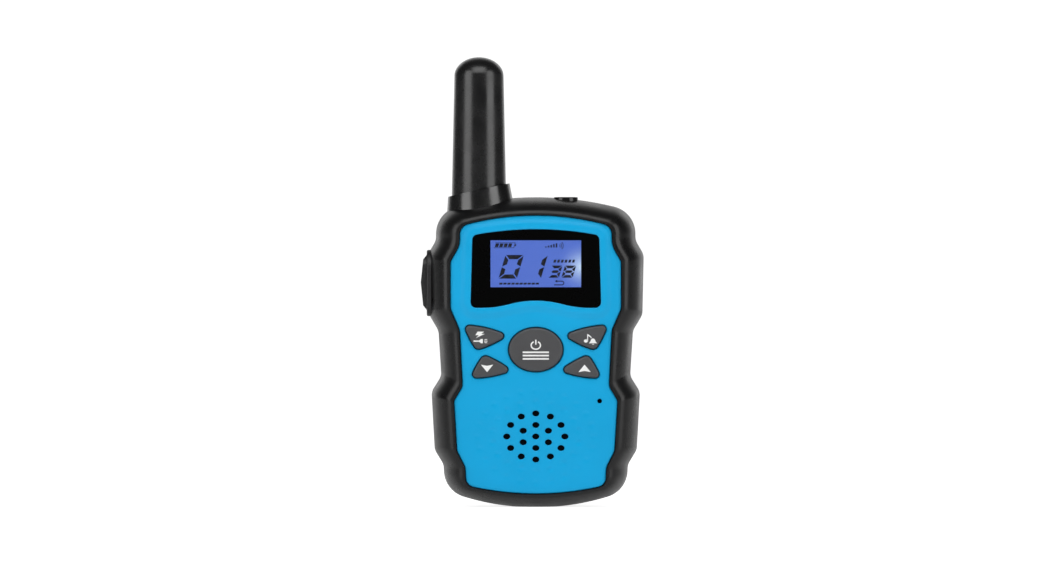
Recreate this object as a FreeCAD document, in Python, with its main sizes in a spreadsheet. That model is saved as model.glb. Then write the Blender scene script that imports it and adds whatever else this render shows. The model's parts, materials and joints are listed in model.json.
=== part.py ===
import FreeCAD, Part
import math
import os
import re

import Sketcher
from FreeCAD import Placement, Rotation, Vector

# Toy walkie talkie. Millimetres. +Z is up, the front faces -Y and the aerial stands on the -X side.
# The origin is the middle of the flat foot, on the plane where the two case halves meet (y = 0).

FRONT, BACK, RIGHT, UP = Vector(0, -1, 0), Vector(0, 1, 0), Vector(1, 0, 0), Vector(0, 0, 1)

# ---------------------------------------------------------------------------------------------
# Driving dimensions

DRIVING = {
    # case: depths are distances from the parting plane
    "overall_height": 145.0,
    "case_top": 99.8,
    "case_top_radius": 107.0,
    "case_bottom": -0.34,
    "case_bottom_radius": 80.0,
    "lip_depth": 15.0,
    "rear_depth": 14.2,
    "wall": 1.8,
    "seam": 0.35,
    "lip_share": 0.92,
    "lip_chamfer": 0.15,
    "front_power": 1.8,
    "back_share": 0.55,
    "back_power": 2.7,
    # blue face plate and the wall that carries it
    "plate_top": 93.8,
    "plate_top_radius": 87.0,
    "plate_bottom": 4.45,
    "plate_bottom_radius": 95.0,
    "plate_depth": 14.2,
    "plate_thickness": 1.4,
    "plate_gap": 0.2,
    "front_wall": 1.9,
    # display window
    "window_top": 89.2,
    "window_shoulder": 87.25,
    "window_low": 64.3,
    "window_arch": 66.6,
    "window_arch_start": 17.3,
    "window_half_top": 20.2,
    "window_half_bottom": 20.8,
    "window_round": 1.6,
    "lens_depth": 14.7,
    "mask_thickness": 0.3,
    "screen_half_width": 14.55,
    "screen_low": 70.75,
    "screen_high": 85.8,
    "glass_rim": 1.85,
    # keys
    "key_depth": 15.2,
    "key_gap": 0.25,
    "key_flange": 0.9,
    "key_flange_thickness": 0.9,
    "key_edge": 0.7,
    "key_side_radius": 36.0,
    "menu_height": 50.7,
    "menu_half_width": 8.65,
    "menu_half_height": 7.0,
    "mat_thickness": 0.8,
    # circuit board
    "board_depth": 7.6,
    "board_thickness": 1.2,
    "board_half_width": 23.0,
    "board_low": 37.6,
    "board_high": 91.0,
    # loudspeaker and microphone
    "speaker_height": 22.8,
    "speaker_radius": 13.5,
    "hole_half_width": 1.13,
    "hole_half_height": 0.94,
    "ring_step_x": 4.67,
    "ring_step_z": 3.7,
    "mic_side": 20.5,
    "mic_height": 34.2,
    "mic_hole": 0.75,
    # aerial
    "aerial_side": 18.33,
    "aerial_radius": 8.94,
    "aerial_top_radius": 7.93,
    "aerial_dome": 6.1,
    "aerial_wall": 2.2,
    "collar_low": 92.0,
    "collar_low_side": 17.42,
    "collar_low_radius": 11.35,
    "collar_high": 105.5,
    "collar_high_side": 18.34,
    "collar_high_radius": 9.65,
    "collar_rim": 0.65,
    "collar_groove": 4.0,
    "collar_level": 102.1,
    "collar_slant": 12.4,
    "stud_radius": 3.2,
    # lamp
    "lamp_side": 9.7,
    "lamp_depth": 2.5,
    "lamp_radius": 2.9,
    "lamp_top": 99.5,
    "lamp_length": 4.8,
    "lamp_edge": 0.9,
    "bezel_radius": 3.9,
    "bezel_top": 99.8,
    "bulb_radius": 2.4,
    "bulb_top": 98.2,
    "bulb_length": 6.0,
    # talk button
    "talk_low": 63.4,
    "talk_high": 81.2,
    "talk_half_depth": 5.9,
    "talk_round": 4.0,
    "talk_peak": 37.05,
    "talk_edge": 36.3,
    "talk_slope": 1.5,
    "talk_gap": 0.3,
    "talk_flange_side": 32.1,
    "surround_low": 61.4,
    "surround_high": 82.8,
    "surround_half_depth": 7.8,
    "surround_round": 6.0,
    "surround_side": 35.15,
    "surround_seat": 33.65,
    # batteries and their door
    "cell_radius": 5.25,
    "cell_length": 44.5,
    "cell_pitch": 10.9,
    "well_half_width": 17.0,
    "well_low": 9.7,
    "well_high": 57.9,
    "well_floor": 1.7,
    "contact_sheet": 0.4,
    "spring_wire": 0.4,
    "door_half_width": 18.9,
    "door_high": 58.6,
    "door_thickness": 1.5,
    "door_gap": 0.2,
    "hinge_height": 8.0,
    "hinge_radius": 1.3,
    "hinge_pin": 0.8,
    "hinge_pin_length": 2.0,
    "hinge_fit": 0.05,
    # belt clip and its rail
    "rail_low": 64.0,
    "rail_high": 88.0,
    "rail_stem": 4.5,
    "rail_head": 7.0,
    "rail_plate": 1.3,
    "clip_gap": 0.3,
    "clip_low": 61.0,
    "clip_high": 95.0,
    "clip_half_width": 8.6,
    "clip_base": 4.0,
    "belt_gap": 4.3,
    "clip_arm": 1.7,
    "clip_barb": 1.8,
    "clip_round": 2.6,
    # screws
    "case_screw": 1.1,
    "screw_seat": 9.0,
    "screw_head": 1.5,
    "case_post": 3.0,
    "board_screw": 0.9,
    "board_post": 1.9,
}

# Half outlines of the case and of the face plate, from shoulder to foot: side, height, corner radius.
# The first and the last corner lie on the top and the bottom arc, so they need no height.
CASE_CORNERS = {
    "shoulder": (32.2, None, 9.0),
    "neck": (32.2, 85.9, 4.5),
    "grip_high": (34.87, 81.3, 4.5),
    "grip_low": (34.45, 61.9, 4.5),
    "waist_high": (31.4, 56.7, 4.5),
    "waist_low": (30.5, 42.1, 4.0),
    "hip_high": (33.65, 37.1, 4.5),
    "hip_low": (32.65, 18.3, 4.5),
    "ankle": (29.75, 13.5, 4.0),
    "foot": (29.25, None, 9.0),
}
PLATE_CORNERS = {
    "shoulder": (24.4, None, 3.4),
    "neck": (24.4, 84.2, 8.0),
    "grip_high": (27.4, 79.0, 1.6),
    "grip_low": (27.4, 63.8, 4.0),
    "waist_high": (24.4, 57.0, 5.0),
    "waist_low": (23.5, 38.9, 3.0),
    "hip_high": (26.25, 34.3, 1.6),
    "hip_low": (25.3, 18.2, 3.0),
    "ankle": (22.6, 12.9, 4.0),
    "foot": (22.3, None, 3.0),
}

# Rounded corners of the two pairs of three-cornered keys, on the +X side: side, height, radius.
UPPER_KEY = [(21.3, 57.25, 1.2), (11.5, 55.1, 1.1), (18.3, 52.65, 1.75)]
LOWER_KEY = [(16.1, 46.8, 1.8), (10.15, 44.3, 1.1), (19.05, 42.85, 1.2)]

# Depths at which the hollow of the front half steps inwards, as shares of its whole depth.
CAVITY_STEPS = [0.0, 0.42, 0.72, 1.0]

# Places of fasteners and of the domes under the keys: side, height.
CASE_SCREWS = [(-26.2, 87.5), (26.2, 87.5), (-23.3, 13.5), (23.3, 13.5)]
BOARD_SCREWS = [(-20.6, 88.4), (20.6, 88.4), (-20.4, 63.6), (20.4, 63.6), (0.0, 39.6)]
KEY_DOMES = [(0.0, 50.7), (-17.0, 54.6), (17.0, 54.6), (-15.6, 44.8), (15.6, 44.8)]

# Parts on the back of the board: name, side, height, width, height of the package, thickness.
CHIPS = [("radio", -6, 58, 9, 9, 1.1), ("logic", 8, 57, 11, 8, 1.3),
         ("memory", 9, 47, 6, 5, 1.0), ("amplifier", -9, 45, 6, 5, 1.2)]
CAPACITORS = [(17.5, 76), (17.5, 71), (18, 45)]

os.makedirs("parts", exist_ok=True)
doc = FreeCAD.newDocument("walkie_talkie")
sizes = doc.addObject("Spreadsheet::Sheet", "sizes")
sheet_row = 0


def add_size(alias, value):
    """One named cell of the sheet."""
    global sheet_row
    sheet_row += 1
    sizes.set(f"A{sheet_row}", alias)
    sizes.set(f"B{sheet_row}", str(value))
    sizes.setAlias(f"B{sheet_row}", alias)


def add_corners(prefix, corners):
    """Three cells for each outline corner, or two where an arc sets its height."""
    for corner, (side, height, radius) in corners.items():
        add_size(f"{prefix}_{corner}_side", side)
        add_size(f"{prefix}_{corner}_round", radius)
        if height is not None:
            add_size(f"{prefix}_{corner}_height", height)


for alias, value in DRIVING.items():
    add_size(alias, value)
add_corners("case", CASE_CORNERS)
add_corners("plate", PLATE_CORNERS)
doc.recompute()

# ---------------------------------------------------------------------------------------------
# Helpers

nodes = {}


def size(alias):
    """A driving dimension as a number."""
    return float(sizes.get(alias))


def cells(text):
    """The same expression with each driving dimension looked up in the sheet."""
    return re.sub(r"[a-z_]+", lambda word: f"sizes.{word[0]}" if word[0] in DRIVING else word[0], str(text))


def bind(thing, **properties):
    """Bind properties to expressions of the driving dimensions."""
    for name, expression in properties.items():
        thing.setExpression(name, cells(expression))
    return thing


def place(thing, x=0, y=0, z=0, turn=None):
    """Set where a piece stands, and bind that place to the sheet."""
    thing.Placement = Placement(Vector(), turn or Rotation())
    for axis, expression in (("x", x), ("y", y), ("z", z)):
        thing.setExpression(f"Placement.Base.{axis}", cells(expression))
    return thing


def block(name, x, y, z):
    """Box between two expressions on each axis."""
    box = doc.addObject("Part::Box", name)
    bind(box, Length=f"({x[1]}) - ({x[0]})", Width=f"({y[1]}) - ({y[0]})", Height=f"({z[1]}) - ({z[0]})")
    return place(box, x[0], y[0], z[0])


TURNS = {"x": Rotation(BACK, 90), "y": Rotation(RIGHT, -90), "z": Rotation()}


def rod(name, radius, axis, start, end, u, v, end_radius=None):
    """Cylinder or cone along an axis; u and v are its two other coordinates, in x, y, z order."""
    thing = doc.addObject("Part::Cone" if end_radius else "Part::Cylinder", name)
    if end_radius:
        bind(thing, Radius1=radius, Radius2=end_radius)
    else:
        bind(thing, Radius=radius)
    bind(thing, Height=f"({end}) - ({start})")
    where = {"x": (start, u, v), "y": (u, start, v), "z": (u, v, start)}[axis]
    return place(thing, *where, turn=TURNS[axis])


def fuse(name, pieces):
    thing = doc.addObject("Part::MultiFuse", name)
    thing.Shapes = pieces
    return thing


def cut(name, base, tool):
    thing = doc.addObject("Part::Cut", name)
    thing.Base = base
    thing.Tool = tool
    return thing


def cut_all(name, base, tools):
    """One cut after another."""
    for number, tool in enumerate(tools):
        base = cut(f"{name}_{number}", base, tool)
    return base


def common(name, first, second):
    thing = doc.addObject("Part::Common", name)
    thing.Base = first
    thing.Tool = second
    return thing


def soften(name, base, radius, picks):
    """Fillet the edges that picks chooses."""
    doc.recompute()
    thing = doc.addObject("Part::Fillet", name)
    thing.Base = base
    edges = enumerate(base.Shape.Edges, start=1)
    thing.Edges = [(number, radius, radius) for number, edge in edges if picks(edge)]
    return thing


def along(axis):
    """Picks the straight edges that run along an axis."""
    def picks(edge):
        if edge.Curve.TypeId != "Part::GeomLine":
            return False
        return abs(edge.tangentAt(edge.FirstParameter).dot(axis)) > 0.999
    return picks


def at_level(axis, level):
    """Picks the edges that lie wholly at one level along an axis."""
    def picks(edge):
        box = edge.BoundBox
        low = Vector(box.XMin, box.YMin, box.ZMin).dot(axis)
        high = Vector(box.XMax, box.YMax, box.ZMax).dot(axis)
        return abs(low - level) < 1e-3 and abs(high - level) < 1e-3
    return picks


def feature(name, shape):
    """Part feature that holds a shape made with Part's own functions."""
    thing = doc.addObject("Part::Feature", name)
    thing.Shape = shape
    thing.Placement = Placement()
    return thing


def prism(name, wire, start, end):
    """Extrusion of an outline in the XZ plane, from one depth to another along Y."""
    outline = feature(name + "_outline", wire)
    place(outline, y=start)
    thing = doc.addObject("Part::Extrusion", name)
    thing.Base = outline
    thing.DirMode = "Custom"
    thing.Dir = BACK
    thing.Solid = True
    return bind(thing, LengthFwd=f"({end}) - ({start})")


def oval(name, half_width, half_height, start, end, x, z):
    """Elliptical prism along Y."""
    ellipse = doc.addObject("Part::Ellipse", name + "_outline")
    bind(ellipse, MajorRadius=half_width, MinorRadius=half_height)
    place(ellipse, x, start, z, turn=Rotation(RIGHT, 90))
    thing = doc.addObject("Part::Extrusion", name)
    thing.Base = ellipse
    thing.DirMode = "Custom"
    thing.Dir = BACK
    thing.Solid = True
    return bind(thing, LengthFwd=f"({end}) - ({start})")


def new_sketch(body, name, role, level=0):
    """Sketch on one of the body's own origin planes, raised along that plane's normal."""
    sketch = body.newObject("Sketcher::SketchObject", name)
    plane = next(item for item in body.Origin.OriginFeatures if item.Role == role)
    sketch.AttachmentSupport = [(plane, "")]
    sketch.MapMode = "FlatFace"
    sketch.setExpression("AttachmentOffset.Base.z", cells(level))
    return sketch


def draw_polygon(sketch, points):
    """Closed polygon with every corner held at two expressions."""
    count = len(points)
    first = sketch.GeometryCount
    spread = [Vector(math.cos(math.tau * n / count), math.sin(math.tau * n / count), 0) for n in range(count)]
    for n in range(count):
        sketch.addGeometry(Part.LineSegment(spread[n], spread[(n + 1) % count]), False)
    for n in range(count):
        sketch.addConstraint(Sketcher.Constraint("Coincident", first + n, 2, first + (n + 1) % count, 1))
    for n, (across, up) in enumerate(points):
        for kind, expression in (("DistanceX", across), ("DistanceY", up)):
            held = sketch.addConstraint(Sketcher.Constraint(kind, -1, 1, first + n, 1, 1.0))
            sketch.setExpression(f"Constraints[{held}]", cells(expression))


def draw_circle(sketch, across, up, radius):
    """Circle held at two expressions, with its radius on a third."""
    ring = sketch.addGeometry(Part.Circle(Vector(1, 1, 0), UP, 1.0), False)
    for kind, expression in (("DistanceX", across), ("DistanceY", up)):
        held = sketch.addConstraint(Sketcher.Constraint(kind, -1, 1, ring, 3, 1.0))
        sketch.setExpression(f"Constraints[{held}]", cells(expression))
    held = sketch.addConstraint(Sketcher.Constraint("Radius", ring, 1.0))
    sketch.setExpression(f"Constraints[{held}]", cells(radius))


def padded(name, role, low, high, points, circles=()):
    """Body padded from a polygon, less its circles, between two levels along the plane's normal."""
    body = doc.addObject("PartDesign::Body", name + "_body")
    sketch = new_sketch(body, name + "_sketch", role, low)
    draw_polygon(sketch, points)
    for circle in circles:
        draw_circle(sketch, *circle)
    pad = body.newObject("PartDesign::Pad", name + "_pad")
    pad.Profile = sketch
    bind(pad, Length=f"({high}) - ({low})")
    body.Tip = pad
    return body


def turned(name, points, axis, x=0, y=0, z=0):
    """Body revolved about its own Z or Y axis; points are radius and distance along the axis."""
    body = doc.addObject("PartDesign::Body", name + "_body")
    sketch = new_sketch(body, name + "_sketch", {"z": "XZ_Plane", "y": "XY_Plane"}[axis])
    draw_polygon(sketch, points)
    turn = body.newObject("PartDesign::Revolution", name + "_turn")
    turn.Profile = sketch
    turn.ReferenceAxis = (sketch, ["V_Axis"])
    turn.Angle = 360.0
    body.Tip = turn
    return place(body, x, y, z)


def lead(name, radius, routes):
    """Wires of one radius, each along straight runs joined by tangent arcs."""
    wires = []
    for points in routes:
        points = [Vector(*point) for point in points]
        edges, here = [], points[0]
        for before, corner, after in zip(points, points[1:], points[2:]):
            inward, outward = (before - corner).normalize(), (after - corner).normalize()
            half_turn = (math.pi - inward.getAngle(outward)) / 2
            reach = 0.45 * min((before - corner).Length, (after - corner).Length)
            bend = reach / math.tan(half_turn)
            start, end = corner + inward * reach, corner + outward * reach
            middle = corner + (inward + outward).normalize() * (bend / math.cos(half_turn) - bend)
            edges += [Part.LineSegment(here, start).toShape(), Part.Arc(start, middle, end).toShape()]
            here = end
        edges.append(Part.LineSegment(here, points[-1]).toShape())
        path = Part.Wire(edges)
        ring = Part.Wire([Part.Circle(points[0], points[1] - points[0], radius).toShape()])
        wires.append(path.makePipeShell([ring], True, True))
    return feature(name, Part.makeCompound(wires) if len(wires) > 1 else wires[0])


def keep(name, thing):
    """Name a finished sub-part."""
    thing.Label = name
    nodes[name] = thing
    return thing


# ---------------------------------------------------------------------------------------------
# Outlines of the case, the face plate and the display window

def line_corner(before, corner, after, radius):
    """Start, middle and end of the arc that rounds a corner between two lines."""
    one, other = (before - corner).normalize(), (after - corner).normalize()
    half = one.getAngle(other) / 2
    reach = radius / math.tan(half)
    centre = corner + (one + other).normalize() * (radius / math.sin(half))
    return corner + one * reach, centre + (corner - centre).normalize() * radius, corner + other * reach


def arc_corner(foot, heading, centre, big_radius, radius):
    """The same between a line and a large circle that it meets from inside."""
    inward = Vector(-abs(heading.z), 0, 0) + Vector(0, 0, heading.x * math.copysign(1, heading.z))
    offset = foot + inward * radius - centre
    along_line = offset.dot(heading)
    run = -along_line + math.sqrt(along_line ** 2 - offset.dot(offset) + (big_radius - radius) ** 2)
    middle = foot + inward * radius + heading * run
    on_line = middle - inward * radius
    on_arc = centre + (middle - centre) * (big_radius / (big_radius - radius))
    halfway = ((on_line - middle) + (on_arc - middle)).normalize() * radius
    return on_line, middle + halfway, on_arc


def mirrored(point):
    return Vector(-point.x, point.y, point.z)


def body_outline(share, depth=0.0):
    """Outline between that of the case (share 0) and that of the face plate (share 1)."""
    def between(name):
        return size("case_" + name) * (1 - share) + size("plate_" + name) * share

    top, bottom = Vector(0, 0, between("top")), Vector(0, 0, between("bottom"))
    top_radius, bottom_radius = between("top_radius"), between("bottom_radius")
    levels = {"shoulder": top.z, "foot": bottom.z}
    corners = [
        Vector(between(name + "_side"), 0, levels[name] if name in levels else between(name + "_height"))
        for name in CASE_CORNERS
    ]
    rounds = [between(name + "_round") for name in CASE_CORNERS]
    rise, fall = (corners[0] - corners[1]).normalize(), (corners[-1] - corners[-2]).normalize()
    line, middle, arc = arc_corner(corners[1], rise, top - UP * top_radius, top_radius, rounds[0])
    arcs = [(arc, middle, line)]
    for before, corner, after, radius in zip(corners, corners[1:], corners[2:], rounds[1:]):
        arcs.append(line_corner(before, corner, after, radius))
    arcs.append(arc_corner(corners[-2], fall, bottom + UP * bottom_radius, bottom_radius, rounds[-1]))
    arcs += [tuple(mirrored(point) for point in reversed(arc)) for arc in reversed(arcs)]
    edges = []
    for number, (arc, following) in enumerate(zip(arcs, arcs[1:] + arcs[:1])):
        edges.append(Part.Arc(*arc).toShape())
        if number == len(CASE_CORNERS) - 1:
            edges.append(Part.Arc(arc[2], bottom, following[0]).toShape())
        elif number == len(arcs) - 1:
            edges.append(Part.Arc(arc[2], top, following[0]).toShape())
        else:
            edges.append(Part.LineSegment(arc[2], following[0]).toShape())
    wire = Part.Wire(edges)
    wire.translate(BACK * depth)
    return wire


def window_outline(grow=0.0):
    """Display window: arched above, flared a little downwards, with a lower edge that swings up."""
    low, arch, turn = size("window_low"), size("window_arch"), size("window_arch_start")
    upper = Vector(size("window_half_top"), 0, size("window_shoulder"))
    lower = Vector(size("window_half_bottom"), 0, low)
    foot, halfway = Vector(turn, 0, low), Vector(turn / 2, 0, (low + arch) / 2)
    swing = (halfway - foot).Length ** 2 / (arch - low)
    bend = Vector(turn - swing * math.sin(math.asin(turn / 2 / swing) / 2), 0,
                  low + swing * (1 - math.cos(math.asin(turn / 2 / swing) / 2)))
    edges = [
        Part.Arc(mirrored(upper), Vector(0, 0, size("window_top")), upper).toShape(),
        Part.LineSegment(upper, lower).toShape(),
        Part.LineSegment(lower, foot).toShape(),
        Part.Arc(foot, bend, halfway).toShape(),
        Part.Arc(halfway, Vector(0, 0, arch), mirrored(halfway)).toShape(),
        Part.Arc(mirrored(halfway), mirrored(bend), mirrored(foot)).toShape(),
        Part.LineSegment(mirrored(foot), mirrored(lower)).toShape(),
        Part.LineSegment(mirrored(lower), mirrored(upper)).toShape(),
    ]
    radius = size("window_round")
    return Part.Wire(edges).makeOffset2D(-radius).makeOffset2D(radius + grow)


def key_outline(corners, side, grow=0.0):
    """Three-cornered key: an arc round each corner, joined by slightly bulging sides tangent to both."""
    centres = [Vector(side * x, 0, z) for x, z, radius in corners]
    rounds = [radius for x, z, radius in corners]
    middle = (centres[0] + centres[1] + centres[2]) * (1 / 3)
    sides = []
    for number, start in enumerate(centres):
        end = centres[(number + 1) % 3]
        from_start = size("key_side_radius") - rounds[number]
        from_end = size("key_side_radius") - rounds[(number + 1) % 3]
        run = end - start
        share = (from_start ** 2 - from_end ** 2 + run.Length ** 2) / (2 * run.Length)
        inward = run.cross(BACK).normalize()
        if inward.dot(middle - start) < 0:
            inward = inward * -1
        hub = start + run * (share / run.Length) + inward * math.sqrt(from_start ** 2 - share ** 2)
        leave = start + (start - hub).normalize() * (rounds[number] + grow)
        arrive = end + (end - hub).normalize() * (rounds[(number + 1) % 3] + grow)
        outer = hub + ((leave + arrive) * 0.5 - hub).normalize() * (size("key_side_radius") + grow)
        sides.append((leave, outer, arrive))
    edges = []
    for number, (leave, outer, arrive) in enumerate(sides):
        following = sides[(number + 1) % 3][0]
        corner = centres[(number + 1) % 3]
        reach = rounds[(number + 1) % 3] + grow
        tip = corner + ((arrive - corner) + (following - corner)).normalize() * reach
        edges += [Part.Arc(leave, outer, arrive).toShape(), Part.Arc(arrive, tip, following).toShape()]
    return Part.Wire(edges)


def edge_profile(reach, depth, power, steps):
    """Evenly spaced points on a quarter of a superellipse, as shares of its reach and of its depth."""
    power, fine = 2 / power, 400
    angles = [math.pi / 2 * n / fine for n in range(1, fine)]
    curve = [(1 - math.cos(angle) ** power, math.sin(angle) ** power) for angle in angles]
    curve = [(0.0, 0.0), *curve, (1.0, 1.0)]
    travelled = [0.0]
    for (inset, level), (next_inset, next_level) in zip(curve, curve[1:]):
        step_in, step_down = (next_inset - inset) * reach, (next_level - level) * depth
        travelled.append(travelled[-1] + math.hypot(step_in, step_down))
    points, piece = [], 0
    for step in range(steps + 1):
        wanted = travelled[-1] * step / steps
        while piece < len(curve) - 2 and travelled[piece + 1] < wanted:
            piece += 1
        part = (wanted - travelled[piece]) / (travelled[piece + 1] - travelled[piece])
        points.append(tuple(a + (b - a) * part for a, b in zip(curve[piece], curve[piece + 1])))
    return points


def case_form(name, depth, deepest_share, power):
    """Solid half of the case: the outline draws in towards the face along a rounded edge."""
    reach = (size("case_grip_high_side") - size("plate_grip_high_side")) * deepest_share
    sections = [body_outline(inset * deepest_share, level * depth)
                for inset, level in edge_profile(reach, abs(depth), power, 12)]
    solid = Part.makeLoft(sections, True, False)
    room = Part.makeBox(100, abs(depth), 110, Vector(-50, min(depth, 0), 0))
    return feature(name, solid.common(room))


front_form = case_form("front_form", -size("lip_depth"), size("lip_share"), size("front_power"))
rear_form = case_form("rear_form", size("rear_depth"), size("back_share"), size("back_power"))
case_outline = body_outline(0.0)
cavity_outline = case_outline.makeOffset2D(-size("wall"))

SEAT = "plate_depth - plate_thickness"
WALL_BACK = "plate_depth - plate_thickness - front_wall"
SIDES = {"left": -1, "right": 1}


def key_tools(prefix, grow, start, end):
    """Prisms through all five key wells, larger than the keys all round by grow."""
    tools = [oval(prefix + "_menu", f"menu_half_width + {grow}", f"menu_half_height + {grow}",
                  start, end, 0, "menu_height")]
    for pair, corners in (("upper", UPPER_KEY), ("lower", LOWER_KEY)):
        for side, sign in SIDES.items():
            wire = key_outline(corners, sign, size(grow) if grow in DRIVING else grow)
            tools.append(prism(f"{prefix}_{pair}_{side}", wire, start, end))
    return tools


# ---------------------------------------------------------------------------------------------
# Case halves

def talk_opening(name):
    """Room for the talk button through the side wall, and the shallow seat of its rubber surround."""
    opening = block(name + "_slot", ("-talk_peak - 2", "-talk_flange_side + 1"),
                    ("-talk_half_depth - talk_gap", "talk_half_depth + talk_gap"),
                    ("talk_low - talk_gap", "talk_high + talk_gap"))
    seat = block(name + "_seat", ("-talk_peak - 2", "-surround_seat"),
                 ("-surround_half_depth - 0.1", "surround_half_depth + 0.1"),
                 ("surround_low - 0.1", "surround_high + 0.1"))
    slot_round = size("talk_round") + size("talk_gap")
    return [soften(name + "_slot_round", opening, slot_round, along(RIGHT)),
            soften(name + "_seat_round", seat, size("surround_round") + 0.1, along(RIGHT))]


def lamp_opening(name):
    """Hole for the lamp's bezel in the top of the case."""
    return rod(name, "bezel_radius + 0.05", "z", "case_top - 12", "bezel_top + 1", "lamp_side", "-lamp_depth")


def front_cavity():
    """The hollow of the front half, in steps that leave a full wall as the outside draws in."""
    floor, power = size("plate_depth") - size("plate_thickness") - size("front_wall"), size("front_power")
    levels = [share * floor for share in CAVITY_STEPS]
    cuts = []
    for number, (shallow, deep) in enumerate(zip(levels, levels[1:])):
        drawn_in = 1 - (1 - (deep / size("lip_depth")) ** power) ** (1 / power)
        outline = body_outline(size("lip_share") * drawn_in).makeOffset2D(-size("wall"))
        cuts.append(prism(f"front_cavity_{number}", outline, -deep, -shallow))
    pocket = block("talk_flange_pocket", ("-talk_flange_side - 0.2", "-talk_flange_side + 4"),
                   ("-talk_half_depth - 1.4", "0"), ("talk_low - 1.1", "talk_high + 1.1"))
    return [*cuts, pocket]


def front_case():
    edge = Part.Face(case_outline).cut(Part.Face(case_outline.makeOffset2D(-size("seam"))))
    seam_ring = feature("front_seam_ring", edge.extrude(FRONT * size("seam")))
    gap, chamfer, above = size("plate_gap"), size("lip_chamfer"), 0.1
    recess = prism("plate_recess", body_outline(1.0).makeOffset2D(gap), "-lip_depth - 1", f"-({SEAT})")
    rim = body_outline(1.0, -size("lip_depth") + chamfer).makeOffset2D(gap)
    flare = body_outline(1.0, -size("lip_depth") - above).makeOffset2D(gap + chamfer + above)
    mouth = feature("plate_recess_mouth", Part.makeLoft([rim, flare], True, True))
    window_half = "(screen_half_width + glass_rim + 0.2)"
    window = block("front_window", (f"-{window_half}", window_half), ("-plate_depth", "-plate_depth + 6"),
                   ("screen_low - 1.45", "screen_high + 1.45"))
    wells = key_tools("front_well", "key_gap", "-plate_depth", "-plate_depth + 6")
    speaker = oval("front_speaker_hole", "ring_step_x * 2 + 2", "ring_step_z * 2 + 2", "-plate_depth",
                   "-plate_depth + 6", 0, "speaker_height")
    mic = rod("front_mic_hole", "mic_hole", "y", "-plate_depth", "-plate_depth + 6", "mic_side", "mic_height")
    stud = rod("front_stud_hole", "stud_radius", "z", "case_top - 12", "case_top", "-aerial_side", 0)
    openings = [recess, mouth, window, *wells, speaker, mic, stud, seam_ring]
    openings += [*talk_opening("front_talk"), lamp_opening("front_lamp_hole")]
    shell = cut_all("front_shell", front_form, [*front_cavity(), *openings])
    inner_wall = f"-({WALL_BACK})"
    posts, pilots = [], []
    for number, (x, z) in enumerate(CASE_SCREWS):
        posts.append(rod(f"front_boss_{number}", "case_post", "y", f"{inner_wall} - 0.2", "0", x, z))
        pilots.append(rod(f"front_pilot_{number}", "case_screw", "y", "-9", "1", x, z))
    for number, (x, z) in enumerate(BOARD_SCREWS):
        posts.append(rod(f"board_post_{number}", "board_post", "y", f"{inner_wall} - 0.2", "-board_depth",
                         x, z))
        pilots.append(rod(f"board_pilot_{number}", "board_screw", "y", inner_wall, "0", x, z))
    inner, outer = "speaker_radius + 0.1", "speaker_radius + 1.2"
    base, rim_level = f"{inner_wall} - 0.2", f"{inner_wall} + 2.4"
    cradle = turned("speaker_cradle", [(inner, base), (outer, base), (outer, rim_level), (inner, rim_level)],
                    "y", z="speaker_height")
    solid = fuse("front_with_posts", [shell, *posts, cradle])
    keep("front_case", cut_all("front_case_cut", solid, pilots))


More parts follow.
